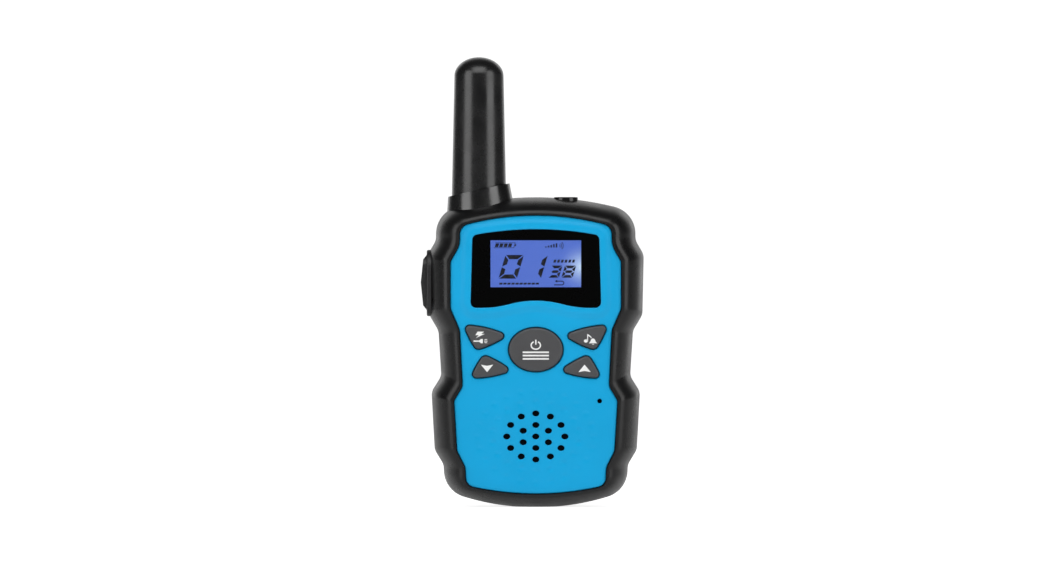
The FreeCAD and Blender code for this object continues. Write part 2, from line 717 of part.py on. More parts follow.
def rear_case():
    cavity = prism("rear_cavity", cavity_outline, "0", "rear_depth - wall")
    stud = rod("rear_stud_hole", "stud_radius", "z", "case_top - 12", "case_top", "-aerial_side", 0)
    openings = [cavity, stud, *talk_opening("rear_talk"), lamp_opening("rear_lamp_hole")]
    shell = cut_all("rear_shell", rear_form, openings)
    well = block("well_outside", ("-well_half_width - 3.6", "well_half_width + 3.6"),
                 ("well_floor - 1.4", "rear_depth"), ("well_low - 1.4", "well_high + 2.5"))
    adds, cuts = [], []
    for side, sign in SIDES.items():
        inner, outer = f"{sign} * (door_half_width + door_gap)", f"{sign} * (door_half_width + 3)"
        x = (inner, outer) if sign > 0 else (outer, inner)
        adds.append(block(f"hinge_cheek_{side}", x, ("rear_depth - 3.4", "rear_depth"),
                          ("hinge_height - 2", "hinge_height + 2")))
    cuts.append(rod("hinge_bore", "hinge_pin + hinge_fit", "x", "-door_half_width - hinge_pin_length - 0.2",
                    "door_half_width + hinge_pin_length + 0.2", "rear_depth - hinge_radius", "hinge_height"))
    adds.append(block("talk_board_rib", ("-27.8", "-26.4"), ("3", "rear_depth - 1"), ("66", "79")))
    for number, (x, z) in enumerate(CASE_SCREWS):
        adds.append(rod(f"rear_boss_{number}", "case_post + 0.2", "y", "0", "rear_depth - 1", x, z))
        cuts.append(rod(f"rear_clearance_{number}", "case_screw + 0.2", "y", "-1", "rear_depth + 1", x, z))
        cuts.append(rod(f"rear_counterbore_{number}", "case_screw + 1.5", "y", "screw_seat", "rear_depth + 1",
                        x, z))
    inside = common("rear_inside", fuse("rear_additions", [well, *adds]), rear_form)
    cuts += [
        block("well_inside", ("-well_half_width", "well_half_width"), ("well_floor", "rear_depth + 1"),
              ("well_low", "well_high")),
        block("door_recess", ("-door_half_width - door_gap", "door_half_width + door_gap"),
              ("rear_depth - door_thickness - 0.1", "rear_depth + 1"),
              ("well_low - 1", "door_high + door_gap")),
        block("hinge_channel", ("-door_half_width - door_gap", "door_half_width + door_gap"),
              ("rear_depth - hinge_radius * 2 - 0.3", "rear_depth + 1"),
              ("hinge_height - hinge_radius - 0.3", "well_low + 0.1")),
        block("battery_lead_slot", ("-12.5", "12.5"), ("5", "7"), ("well_high - 1", "well_high + 3")),
    ]
    rail = fuse("clip_rail", [
        block("rail_stem_block", ("-rail_stem", "rail_stem"), ("rear_depth - 1", "rear_depth + rail_plate"),
              ("rail_low", "rail_high")),
        block("rail_head_block", ("-rail_head", "rail_head"),
              ("rear_depth + rail_plate", "rear_depth + rail_plate * 2"), ("rail_low", "rail_high")),
    ])
    solid = fuse("rear_with_well", [shell, inside, rail])
    keep("rear_case", cut_all("rear_case_cut", solid, cuts))


def case_screws():
    """Four screws with cross slots, sunk in counterbores in the back."""
    reach, narrow = 1.5, 0.25
    slot_depth = ("screw_seat + screw_head / 2", "screw_seat + screw_head + 1")
    screws = []
    for number, (x, z) in enumerate(CASE_SCREWS):
        shank = rod(f"case_shank_{number}", "case_screw", "y", "-8.6", "screw_seat", x, z)
        head = rod(f"case_head_{number}", "case_screw + 1.2", "y", "screw_seat", "screw_seat + screw_head",
                   x, z)
        slot_across = block(f"case_slot_a_{number}", (x - reach, x + reach), slot_depth,
                            (z - narrow, z + narrow))
        slot_up = block(f"case_slot_b_{number}", (x - narrow, x + narrow), slot_depth, (z - reach, z + reach))
        screws.append(cut_all(f"case_screw_{number}", fuse(f"case_screw_solid_{number}", [shank, head]),
                              [slot_across, slot_up]))
    group = doc.addObject("Part::Compound", "case_screw_group")
    group.Links = screws
    keep("case_screws", group)


# ---------------------------------------------------------------------------------------------
# Front: face plate, display, keys

def grille_punch(name, start, end):
    """The elliptical sound holes: one in the middle and rings of six and twelve."""
    width, height = size("hole_half_width"), size("hole_half_height")
    holes = []
    for ring in range(3):
        for step in range(max(6 * ring, 1)):
            angle = math.tau * step / max(6 * ring, 1) + (math.pi / 6 if ring == 1 else 0)
            x = ring * size("ring_step_x") * math.cos(angle)
            z = size("speaker_height") + ring * size("ring_step_z") * math.sin(angle)
            ellipse = Part.Ellipse(Vector(), width, height)
            ellipse.rotate(Placement(Vector(), Rotation(RIGHT, 90)))
            edge = ellipse.toShape()
            edge.translate(Vector(x, start, z))
            holes.append(Part.Face(Part.Wire([edge])).extrude(BACK * (end - start)))
    return feature(name, Part.makeCompound(holes))


def face_plate():
    plate = prism("plate_blank", body_outline(1.0), "-plate_depth", f"-({SEAT})")
    window = prism("plate_window", window_outline(0.15), "-plate_depth - 1", "-plate_depth + 3")
    wells = key_tools("plate_well", "key_gap", "-plate_depth - 1", "-plate_depth + 3")
    mic = rod("plate_mic_hole", "mic_hole", "y", "-plate_depth - 1", "-plate_depth + 3",
              "mic_side", "mic_height")
    holes = grille_punch("plate_grille", -size("plate_depth") - 1, -size("plate_depth") + 3)
    keep("face_plate", cut_all("face_plate_cut", plate, [window, *wells, mic, holes]))


def display():
    mask_front = f"{SEAT} + mask_thickness"
    keep("display_lens", prism("display_lens_solid", window_outline(), "-lens_depth", f"-({mask_front})"))
    mask = prism("display_mask_blank", window_outline(), f"-({mask_front})", f"-({SEAT})")
    screen = block("mask_opening", ("-screen_half_width", "screen_half_width"),
                   ("-lens_depth", "-lens_depth + 4"), ("screen_low", "screen_high"))
    keep("display_mask", cut("display_mask_cut", mask, screen))
    glass_half = "(screen_half_width + glass_rim)"
    keep("lcd_glass", block("lcd_glass_solid", (f"-{glass_half}", glass_half),
                            (f"-({SEAT}) + 0.05", f"-({WALL_BACK}) - 0.1"),
                            ("screen_low - 1.25", "screen_high + 1.25")))
    holder = block("lcd_holder_outside", ("-18.4", "18.4"), (f"-({WALL_BACK})", "-board_depth"),
                   ("screen_low - 3", "screen_high + 3"))
    pocket = block("lcd_holder_pocket", ("-screen_half_width - 1", "screen_half_width + 1"),
                   (f"-({WALL_BACK}) - 1", "-board_depth - 1"), ("screen_low - 0.2", "screen_high + 0.2"))
    keep("lcd_frame", cut("lcd_frame_cut", holder, pocket))
    keep("backlight_panel", block("backlight_solid", ("-screen_half_width - 0.9", "screen_half_width + 0.9"),
                                  (f"-({WALL_BACK})", "-board_depth - 1"),
                                  ("screen_low - 0.1", "screen_high + 0.1")))


def keys():
    front, shelf = "-key_depth", f"-({WALL_BACK}) + 0.1"
    rear = f"{shelf} + key_flange_thickness"
    menu_cap = oval("menu_cap", "menu_half_width", "menu_half_height", front, shelf, 0, "menu_height")
    menu_flange = oval("menu_flange", "menu_half_width + key_flange", "menu_half_height + key_flange",
                       shelf, rear, 0, "menu_height")
    caps = {"menu_key": (menu_cap, menu_flange)}
    names = {("upper", -1): "lamp_key", ("upper", 1): "call_key",
             ("lower", -1): "down_key", ("lower", 1): "up_key"}
    for (pair, sign), name in names.items():
        corners = UPPER_KEY if pair == "upper" else LOWER_KEY
        caps[name] = (prism(name + "_cap", key_outline(corners, sign), front, shelf),
                      prism(name + "_flange", key_outline(corners, sign, size("key_flange")), shelf, rear))
    for name, (cap, flange) in caps.items():
        rounded = soften(name + "_cap_round", cap, size("key_edge"), at_level(BACK, -size("key_depth")))
        keep(name, fuse(name + "_solid", [rounded, flange]))


def key_mat():
    """Silicone sheet on the board with a hollow dome under each key."""
    board = "-board_depth"
    sheet = block("mat_sheet", ("-22.4", "22.4"), (f"{board} - mat_thickness", board), ("41.8", "60.6"))
    domes = [
        rod(f"mat_dome_{number}", "3", "y", f"{board} - mat_thickness", f"{board}", x, z)
        for number, (x, z) in enumerate(KEY_DOMES)
    ]
    crowns = [
        rod(f"mat_crown_{number}", "1.7", "y", f"-({WALL_BACK}) + 0.1 + key_flange_thickness",
            f"{board} - mat_thickness", x, z, "2.9")
        for number, (x, z) in enumerate(KEY_DOMES)
    ]
    hollows = [
        rod(f"mat_hollow_{number}", "2", "y", f"{board} - mat_thickness - 0.3", "0", x, z)
        for number, (x, z) in enumerate(KEY_DOMES)
    ]
    keep("key_mat", cut_all("key_mat_cut", fuse("key_mat_solid", [sheet, *domes, *crowns]), hollows))


# ---------------------------------------------------------------------------------------------
# Electronics

def circuit_board():
    low, high, half, bevel = "board_low", "board_high", "board_half_width", 3
    corners = [(f"-{half}", f"{low} + {bevel}"), (f"-{half} + {bevel}", low),
               (f"{half} - {bevel}", low), (half, f"{low} + {bevel}"),
               (half, f"{high} - {bevel}"), (f"{half} - {bevel}", high),
               (f"-{half} + {bevel}", high), (f"-{half}", f"{high} - {bevel}")]
    holes = [(x, z, "board_screw + 0.15") for x, z in BOARD_SCREWS]
    keep("main_board", padded("main_board", "XZ_Plane", "board_depth - board_thickness", "board_depth",
                              corners, holes))
    back = "-board_depth + board_thickness"
    keep("radio_shield", block("radio_shield_solid", ("-13", "13"), (back, f"{back} + 2.6"), ("69", "86")))
    chips = [
        block(f"chip_{name}", (x - wide / 2, x + wide / 2), (back, f"{back} + {deep}"),
              (z - tall / 2, z + tall / 2))
        for name, x, z, wide, tall, deep in CHIPS
    ]
    chip_group = doc.addObject("Part::Compound", "chip_group")
    chip_group.Links = chips
    keep("chips", chip_group)
    can = block("crystal_can", ("-20", "-15.5"), (back, f"{back} + 3"), ("48", "59"))
    keep("crystal", soften("crystal_can_round", can, 2.0, along(BACK)))
    capacitors = [rod(f"capacitor_{number}", "2", "y", back, f"{back} + 4.2", x, z)
                  for number, (x, z) in enumerate(CAPACITORS)]
    capacitor_group = doc.addObject("Part::Compound", "capacitor_group")
    capacitor_group.Links = capacitors
    keep("capacitors", capacitor_group)
    screws = []
    for number, (x, z) in enumerate(BOARD_SCREWS):
        shank = rod(f"board_shank_{number}", "board_screw", "y", "-board_depth - 2.6", back, x, z)
        head = rod(f"board_head_{number}", "1.7", "y", back, f"{back} + 1", x, z)
        screws.append(fuse(f"board_screw_{number}", [shank, head]))
    screw_group = doc.addObject("Part::Compound", "board_screw_group")
    screw_group.Links = screws
    keep("board_screws", screw_group)


def loudspeaker():
    face, radius = f"-({WALL_BACK})", "speaker_radius"
    bore, seat, end = "2.2", f"{face} + 5.4", f"{face} + 8.2"
    keep("speaker_basket", turned("speaker_basket", [
        (f"{radius} - 1.6", face), (radius, face), (radius, f"{face} + 1.2"), ("7.6", f"{face} + 4.6"),
        ("7.6", seat), (bore, seat), (bore, f"{face} + 4.7"), ("6.9", f"{face} + 4.7"),
        (f"{radius} - 1.6", f"{face} + 0.8")], "y", z="speaker_height"))
    keep("speaker_magnet", turned("speaker_magnet", [(bore, seat), ("6.6", seat), ("6.6", end), (bore, end)],
                                  "y", z="speaker_height"))
    keep("speaker_cone", turned("speaker_cone", [
        ("0", f"{face} + 2.5"), ("2.6", f"{face} + 2.9"), (f"{radius} - 1.9", f"{face} + 0.1"),
        (f"{radius} - 1.9", f"{face} + 0.4"), ("2.6", f"{face} + 3.25"), ("0", f"{face} + 2.85")],
        "y", z="speaker_height"))
    keep("speaker_mesh", oval("speaker_mesh_solid", "ring_step_x * 2 + 1.95", "ring_step_z * 2 + 1.95",
                              f"-({SEAT})", f"-({SEAT}) + 0.4", 0, "speaker_height"))


def microphone():
    """Electret capsule with a felt front, held behind its hole in a rubber boot."""
    face, felt = f"-({WALL_BACK}) + 0.6", 0.3
    place_of = ("mic_side", "mic_height")
    keep("mic_felt", rod("mic_felt_solid", "1.9", "y", face, f"{face} + {felt}", *place_of))
    keep("mic_capsule", rod("mic_capsule_solid", "2", "y", f"{face} + {felt}", f"{face} + 1.8", *place_of))
    front, back, outer, inner = f"{face} - 0.6", f"{face} + 1.8", "2.9", "2"
    keep("mic_boot", turned("mic_boot", [
        ("mic_hole", front), (outer, front), (outer, back), (inner, back), (inner, face), ("mic_hole", face)],
        "y", x="mic_side", z="mic_height"))


# ---------------------------------------------------------------------------------------------
# Top: aerial and lamp

def aerial():
    side, radius, dome = "-aerial_side", "aerial_radius", "overall_height - aerial_dome"
    sleeve = rod("aerial_sleeve", radius, "z", "collar_low", dome, side, 0, "aerial_top_radius")
    cap = doc.addObject("Part::Ellipsoid", "aerial_cap")
    bind(cap, Radius1="aerial_dome", Radius2="aerial_top_radius", Radius3="aerial_top_radius")
    cap.Angle1 = 0
    place(cap, side, 0, dome)
    bore = rod("aerial_bore", f"{radius} - aerial_wall", "z", "collar_low - 1", f"{dome} - 1", side, 0,
               "aerial_top_radius - aerial_wall")
    keep("antenna_cover", cut_all("antenna_cover_cut", fuse("antenna_blank", [sleeve, cap]),
                                  [bore, front_form, rear_form]))
    core_low = "case_top - 0.4"
    keep("antenna_core", rod("antenna_core_solid", "3", "z", core_low, f"{dome} - 2", side, 0))
    turns, pitch, low = 12, 2.6, 103.0
    ribs = [("3", f"{low}"), ("3", f"{low + turns * pitch}")]
    for turn in reversed(range(turns)):
        base = low + turn * pitch
        ribs += [("3.2", f"{base + pitch * 0.95}"), ("4.1", f"{base + pitch * 0.7}"),
                 ("4.1", f"{base + pitch * 0.3}"), ("3.2", f"{base + pitch * 0.05}")]
    keep("antenna_winding", turned("antenna_winding", ribs, "z", x=side))
    keep("antenna_stud", rod("antenna_stud_solid", "stud_radius", "z", "case_top - 12", core_low, side, 0))
    rings = [Part.Wire([Part.Circle(Vector(-size(f"collar_{end}_side"), 0, size(f"collar_{end}")), UP,
                                    size(f"collar_{end}_radius")).toShape()]) for end in ("low", "high")]
    ring = feature("collar_cone", Part.makeLoft(rings, True, True))
    sleeve_room = rod("collar_core", radius, "z", "collar_low", dome, side, 0, "aerial_top_radius")
    groove = rod("collar_groove_cut", "collar_high_radius - collar_rim", "z", "collar_level - collar_groove",
                 "collar_high + 1", side, 0)
    slant = doc.addObject("Part::Box", "collar_slant_cut")
    slant.Length, slant.Width, slant.Height = 40, 40, 20
    tilt = Rotation(BACK, -size("collar_slant"))
    place(slant, turn=tilt)
    corner = tilt.multVec(Vector(-20, -20, 0))
    place(slant, f"{side} + {corner.x}", corner.y, f"collar_level + {corner.z}", turn=tilt)
    cuts = [sleeve_room, groove, slant, front_form, rear_form]
    keep("antenna_collar", cut_all("antenna_collar_cut", ring, cuts))
    nut = rod("nut_blank", "5.2", "z", "case_top - 9", "case_top - 6", side, 0)
    nut_bore = rod("nut_bore", "stud_radius", "z", "case_top - 10", "case_top - 5", side, 0)
    keep("antenna_nut", cut("antenna_nut_cut", nut, nut_bore))


def lamp():
    """Light-emitting diode under a clear lens that is held in a dark bezel."""
    place_of = ("lamp_side", "-lamp_depth")
    low, wall = "lamp_top - lamp_length", 0.6
    lens = rod("lamp_lens_blank", "lamp_radius", "z", low, "lamp_top", *place_of)
    rounded = soften("lamp_lens_round", lens, size("lamp_edge"), at_level(UP, size("lamp_top")))
    pocket = rod("lamp_lens_pocket", "bulb_radius + 0.05", "z", f"{low} - 1", "bulb_top + 0.1", *place_of)
    keep("lamp_lens", cut("lamp_lens_cut", rounded, pocket))
    ring = rod("lamp_bezel_blank", "bezel_radius", "z", f"{low} - {wall}", "bezel_top", *place_of)
    softened = soften("lamp_bezel_round", ring, wall / 2, at_level(UP, size("bezel_top")))
    bore = rod("lamp_bezel_bore", "lamp_radius", "z", low, "bezel_top + 1", *place_of)
    seat = rod("lamp_bezel_seat", "bulb_radius + 0.1", "z", f"{low} - 1", "lamp_top", *place_of)
    keep("lamp_bezel", cut_all("lamp_bezel_cut", softened, [bore, seat]))
    bulb = rod("lamp_led_bulb", "bulb_radius", "z", "bulb_top - bulb_length", "bulb_top", *place_of)
    keep("lamp_led", soften("lamp_led_dome", bulb, size("bulb_radius") - 0.2, at_level(UP, size("bulb_top"))))


# ---------------------------------------------------------------------------------------------
# Talk button

def talk_button():
    blank = block("talk_blank", ("-talk_peak", "-talk_flange_side"), ("-talk_half_depth", "talk_half_depth"),
                  ("talk_low", "talk_high"))
    rounded = soften("talk_blank_round", blank, size("talk_round"), along(RIGHT))
    middle = "(talk_low + talk_high) / 2"
    base, rim = "-talk_flange_side + 1", "-surround_side"
    roof = padded("talk_roof", "XZ_Plane", "-talk_half_depth - 1", "talk_half_depth + 1", [
        (base, "talk_low - 1"), (base, "talk_high + 1"), (rim, "talk_high + 1"), (rim, "talk_high"),
        ("-talk_edge", "talk_high - talk_slope"), ("-talk_peak", middle),
        ("-talk_edge", "talk_low + talk_slope"),
        (rim, "talk_low"), (rim, "talk_low - 1")])
    pad = common("talk_pad", rounded, roof)
    flange = block("talk_flange", ("-talk_flange_side", "-talk_flange_side + 0.9"),
                   ("-talk_half_depth - 1.1", "talk_half_depth + 1.1"), ("talk_low - 0.8", "talk_high + 0.8"))
    stem = block("talk_stem", ("-talk_flange_side + 0.9", "-talk_flange_side + 1.3"), ("-2.5", "2.5"),
                 (f"{middle} - 2.5", f"{middle} + 2.5"))
    keep("ptt_button", fuse("ptt_button_solid", [pad, flange, stem]))
    ring = block("surround_blank", ("-surround_side", "-surround_seat"),
                 ("-surround_half_depth", "surround_half_depth"), ("surround_low", "surround_high"))
    outer = soften("surround_round_corners", ring, size("surround_round"), along(RIGHT))
    hole = block("surround_hole", ("-surround_side - 1", "-surround_seat + 1"),
                 ("-talk_half_depth - talk_gap", "talk_half_depth + talk_gap"),
                 ("talk_low - talk_gap", "talk_high + talk_gap"))
    hole_round = soften("surround_hole_round", hole, size("talk_round") + size("talk_gap"), along(RIGHT))
    frame = cut("surround_frame", outer, hole_round)
    outer_face = at_level(RIGHT, -size("surround_side"))
    keep("ptt_surround", soften("ptt_surround_soft", frame, 0.5, outer_face))
    keep("ptt_board", block("ptt_board_solid", ("-28.8", "-27.8"), ("-6", "6"), ("64.5", "80.5")))
    keep("ptt_dome", rod("ptt_dome_solid", "1.8", "x", "-talk_flange_side + 1.3", "-28.8", 0, middle, "2.8"))


# ---------------------------------------------------------------------------------------------
# Batteries, their contacts and door

def battery_bay():
    """Three cells, the middle one upside down, with a conical spring at each flat end."""
    cell_y, sheet = "well_floor + 0.2 + cell_radius", "contact_sheet"
    springs = []
    for name, column in (("left", -1), ("middle", 0), ("right", 1)):
        x = f"{column} * cell_pitch"
        if column:
            low, high, tip = f"well_high - {sheet} - cell_length", f"well_high - {sheet}", "high"
        else:
            low, high, tip = f"well_low + {sheet}", f"well_low + {sheet} + cell_length", "low"
        ends = (low, f"{high} - 0.8") if tip == "high" else (f"{low} + 0.8", high)
        knob = (f"{high} - 0.8", high) if tip == "high" else (low, f"{low} + 0.8")
        can = rod(f"cell_can_{name}", "cell_radius", "z", *ends, x, cell_y)
        cap = rod(f"cell_cap_{name}", "1.9", "z", *knob, x, cell_y)
        keep(f"battery_{name}", fuse(f"battery_{name}_solid", [can, cap]))
        coils = []
        for turn in range(5):
            coil = doc.addObject("Part::Torus", f"spring_{name}_{turn}")
            bind(coil, Radius1=f"{3.8 - 0.45 * turn}", Radius2="spring_wire")
            rise = f"{sheet} + spring_wire + {0.525 * turn}"
            coils.append(place(coil, x, cell_y, f"well_low + {rise}" if column else f"well_high - ({rise})"))
        springs.append(fuse(f"spring_{name}", coils))
    levels = {"low": ("well_low", f"well_low + {sheet}"), "high": (f"well_high - {sheet}", "well_high")}
    plates = [
        block(f"contact_{name}", ("-cell_pitch - 4.5", "cell_pitch + 4.5"),
              ("well_floor + 0.6", "well_floor + 10"), level)
        for name, level in levels.items()
    ]
    spring_group = doc.addObject("Part::Compound", "spring_group")
    spring_group.Links = springs
    keep("battery_springs", spring_group)
    plate_group = doc.addObject("Part::Compound", "contact_group")
    plate_group.Links = plates
    keep("battery_contacts", plate_group)


def battery_door():
    inner, outer, half = "rear_depth - door_thickness", "rear_depth", "door_half_width"
    axis_y = "rear_depth - hinge_radius"
    panel = block("door_panel", (f"-{half}", half), (inner, outer), ("hinge_height", "door_high"))

    def upper_corners(edge):
        return along(BACK)(edge) and edge.BoundBox.ZMin > size("door_high") / 2
    rounded = soften("door_panel_round", panel, 1.0, upper_corners)
    barrel = rod("door_barrel", "hinge_radius", "x", f"-{half}", half, axis_y, "hinge_height")
    pins = rod("door_pins", "hinge_pin", "x", f"-{half} - hinge_pin_length", f"{half} + hinge_pin_length",
               axis_y, "hinge_height")
    ribs = [block(f"door_rib_{number}", ("-6", "6"), (f"{outer} - 0.2", f"{outer} + 0.5"),
                  (f"door_high - {2.6 + 1.8 * number}", f"door_high - {1.8 + 1.8 * number}"))
            for number in range(4)]
    keep("battery_door", fuse("battery_door_solid", [rounded, barrel, pins, *ribs]))


# ---------------------------------------------------------------------------------------------
# Belt clip

def belt_clip():
    base, gap = "rear_depth + clip_gap", "clip_gap"
    arm = f"{base} + clip_base + belt_gap"
    profile = [(base, "rail_low - 1"), (base, "clip_high"), (f"{arm} + clip_arm", "clip_high"),
               (f"{arm} + clip_arm", "clip_low"), (f"{arm} - clip_barb", "clip_low"),
               (f"{arm} - clip_barb", "clip_low + 1.2"), (arm, "clip_low + 3.4"), (arm, "rail_high + 3"),
               (f"{base} + clip_base", "rail_high + 3"), (f"{base} + clip_base", "rail_low - 1")]
    hook = padded("clip_hook", "YZ_Plane", "-clip_half_width", "clip_half_width", profile)
    stop = "rail_high + 0.1"
    slot = block("clip_stem_slot", (f"-rail_stem - {gap}", f"rail_stem + {gap}"),
                 (f"{base} - 1", f"{base} + 1.4"), ("rail_low - 2", stop))
    channel = block("clip_head_channel", (f"-rail_head - {gap}", f"rail_head + {gap}"),
                    (f"rear_depth + rail_plate - {gap}", f"rear_depth + rail_plate * 2 + {gap}"),
                    ("rail_low - 2", stop))
    shaped = cut_all("clip_shaped", hook, [slot, channel])

    def outer_corners(edge):
        return along(RIGHT)(edge) and edge.BoundBox.YMin > size("rear_depth") + 9 and (
            edge.BoundBox.ZMin > size("clip_high") - 1)
    keep("belt_clip", soften("belt_clip_round", shaped, size("clip_round"), outer_corners))


# ---------------------------------------------------------------------------------------------
# Wires held inside the case

def wires():
    board_back = -size("board_depth") + size("board_thickness")
    aerial_x, top = -size("aerial_side"), size("case_top")
    keep("antenna_lead", lead("antenna_lead_wire", 0.5, [
        [(aerial_x, 0, top - 12), (aerial_x, 0, top - 22), (aerial_x, board_back, top - 22)]]))
    lamp_x, lamp_y, joint = size("lamp_side"), -size("lamp_depth"), size("board_high") - 2
    keep("lamp_leads", lead("lamp_lead_wires", 0.25, [
        [(lamp_x + x, lamp_y, size("bulb_top") - size("bulb_length")), (lamp_x + x, lamp_y, joint),
         (lamp_x + x, board_back, joint)] for x in (-1.27, 1.27)]))
    keep("battery_leads", lead("battery_lead_wires", 0.5, [
        [(x, 6, size("well_high")), (x, 6, 66.5), (x, board_back, 66.5)] for x in (-9.0, 9.0)]))
    tag = -size("plate_depth") + size("plate_thickness") + size("front_wall") + 4.4
    low, high, behind = 30.2, 40.5, tag + 3.4
    keep("speaker_leads", lead("speaker_lead_wires", 0.4, [
        [(x, tag, low), (x, behind, low), (x, behind, high), (x, board_back, high)] for x in (-5.5, 5.5)]))


BUILDERS = [front_case, rear_case, case_screws, face_plate, display, keys, key_mat, circuit_board, loudspeaker,
            microphone, aerial, lamp, talk_button, battery_bay, battery_door, belt_clip, wires]
for build in BUILDERS:
    build()
doc.recompute()

# ---------------------------------------------------------------------------------------------
# Check every object, then write each sub-part

for thing in doc.Objects:
    if "Invalid" in thing.State or "Error" in thing.State:
        raise RuntimeError(f"{thing.Name} did not build: {thing.State}")
for name, thing in nodes.items():
    if thing.Shape.isNull() or not thing.Shape.isValid() or not thing.Shape.Solids:
        raise RuntimeError(f"{name} has no valid solid")
for name, thing in nodes.items():
    thing.Shape.exportStep(f"parts/{name}.step")
    print(f"{name:18s} {len(thing.Shape.Solids)} solid(s) {thing.Shape.Volume:10.1f} mm3")
print(len(nodes), "sub-parts")
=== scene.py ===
import json
import math

import bmesh
import bpy
import numpy as np
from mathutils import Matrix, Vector
from mathutils.geometry import delaunay_2d_cdt


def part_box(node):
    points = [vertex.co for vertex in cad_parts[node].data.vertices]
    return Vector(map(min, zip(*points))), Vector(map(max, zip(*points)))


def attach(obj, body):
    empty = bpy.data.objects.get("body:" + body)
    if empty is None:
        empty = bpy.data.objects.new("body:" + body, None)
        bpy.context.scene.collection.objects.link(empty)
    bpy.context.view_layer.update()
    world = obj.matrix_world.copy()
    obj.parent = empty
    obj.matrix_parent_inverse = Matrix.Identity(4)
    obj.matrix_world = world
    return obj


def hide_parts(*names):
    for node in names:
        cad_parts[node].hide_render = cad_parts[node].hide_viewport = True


# Looks of the toy walkie talkie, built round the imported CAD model. The object's sizes are in millimetres here
# and become metres where a mesh is made. +Z is up, the front faces -Y, and the aerial is on the -X side.

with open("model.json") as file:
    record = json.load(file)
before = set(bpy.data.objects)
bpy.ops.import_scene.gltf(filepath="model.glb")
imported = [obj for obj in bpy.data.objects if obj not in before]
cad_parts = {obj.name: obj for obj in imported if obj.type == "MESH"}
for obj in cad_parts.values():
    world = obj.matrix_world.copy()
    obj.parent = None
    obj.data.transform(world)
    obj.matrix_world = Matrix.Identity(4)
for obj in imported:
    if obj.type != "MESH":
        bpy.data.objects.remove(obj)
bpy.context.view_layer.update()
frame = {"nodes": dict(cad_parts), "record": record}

MM = 0.001

# ---------------------------------------------------------------------------------------------
# Places read from the frame


def box_mm(node):
    """Lowest and highest corner of a CAD node, in millimetres."""
    low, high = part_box(node)
    return low / MM, high / MM


def front_of(node):
    """The y of a CAD node's foremost point, in millimetres."""
    return box_mm(node)[0].y


PLATE_LOW, PLATE_HIGH = box_mm("face_plate")

# ---------------------------------------------------------------------------------------------
# Materials

# About how many patches of each kind of unevenness go to a metre.
COLOUR_PATCHES = 55.0
GLOSS_PATCHES = 140.0
BRUSH_MARKS = 900.0
CLEAR_PATCHES = 260.0
CRYSTAL_PATCHES = 300.0
FLOOR_PATCHES = 3.0
# How far the brushed marks of metal and the patches of clear plastic stray from their colour and roughness.
METAL_DARK = 0.86
METAL_LIGHT = 1.1
METAL_SMOOTHER = 0.07
METAL_ROUGHER = 0.09
CLEAR_DARK = 0.97


class Graph:
    """The node tree of one material, built a node at a time."""

    def __init__(self, name):
        self.material = bpy.data.materials.new(name)
        self.material.use_nodes = True
        self.tree = self.material.node_tree
        self.surface = self.tree.nodes["Principled BSDF"]
        self.place = self.node("ShaderNodeTexCoord").outputs["Object"]

    def node(self, kind, **settings):
        made = self.tree.nodes.new(kind)
        for name, value in settings.items():
            setattr(made, name, value)
        return made

    def set(self, **values):
        """Plain values on the surface shader's sockets, such as coat_weight=0.3."""
        for name, value in values.items():
            self.surface.inputs[name.replace("_", " ").title().replace("Ior", "IOR")].default_value = value

    def link(self, start, node, socket):
        self.tree.links.new(start, node.inputs[socket])

    def noise(self, scale, detail=2.0, stretch=None):
        """Soft patches, longer or shorter along one axis where a stretch is given."""
        made = self.node("ShaderNodeTexNoise")
        made.inputs["Scale"].default_value = scale
        made.inputs["Detail"].default_value = detail
        place = self.place
        if stretch:
            place = self.stretched(stretch)
        self.link(place, made, "Vector")
        return made.outputs["Fac"]

    def stretched(self, scale):
        made = self.node("ShaderNodeMapping")
        made.inputs["Scale"].default_value = scale
        self.link(self.place, made, "Vector")
        return made.outputs["Vector"]

    def remap(self, value, low, high, from_low=0.3, from_high=0.7):
        """A value carried from one range to another: 0.3 to 0.7 is what most of a noise lies in."""
        made = self.node("ShaderNodeMapRange")
        made.inputs["From Min"].default_value = from_low
        made.inputs["From Max"].default_value = from_high
        made.inputs["To Min"].default_value = low
        made.inputs["To Max"].default_value = high
        self.link(value, made, "Value")
        return made.outputs["Result"]

    def mix(self, factor, dark, light):
        made = self.node("ShaderNodeMix", data_type="RGBA")
        self.link(factor, made, "Factor")
        made.inputs[6].default_value = (*dark, 1.0)
        made.inputs[7].default_value = (*light, 1.0)
        return made.outputs[2]

    def bump(self, height, depth, strength):
        made = self.node("ShaderNodeBump")
        made.inputs["Strength"].default_value = strength
        made.inputs["Distance"].default_value = depth * MM
        self.link(height, made, "Height")
        return made.outputs["Normal"]

    def base(self, colour):
        self.link(colour, self.surface, "Base Color")

    def roughness(self, value):
        self.link(value, self.surface, "Roughness")

    def normal(self, value):
        self.link(value, self.surface, "Normal")


def shade(colour, factor):
    """The same colour, lighter or darker."""
    return tuple(min(1.0, part * factor) for part in colour)


def moulded(name, colour, roughness, grain=5200.0, depth=0.012, mottle=0.08, spread=0.06, specular=0.5):
    """Moulded plastic or rubber: spark-eroded grain, uneven gloss and a little unevenness of colour."""
    made = Graph(name)
    patches = made.noise(COLOUR_PATCHES, detail=3.0)
    made.base(made.mix(made.remap(patches, 0.0, 1.0), shade(colour, 1 - mottle), shade(colour, 1 + mottle)))
    gloss = made.noise(GLOSS_PATCHES, detail=4.0)
    made.roughness(made.remap(gloss, roughness - spread, roughness + spread))
    made.normal(made.bump(made.noise(grain, detail=1.0), depth, strength=0.5))
    made.set(specular_ior_level=specular)
    return made


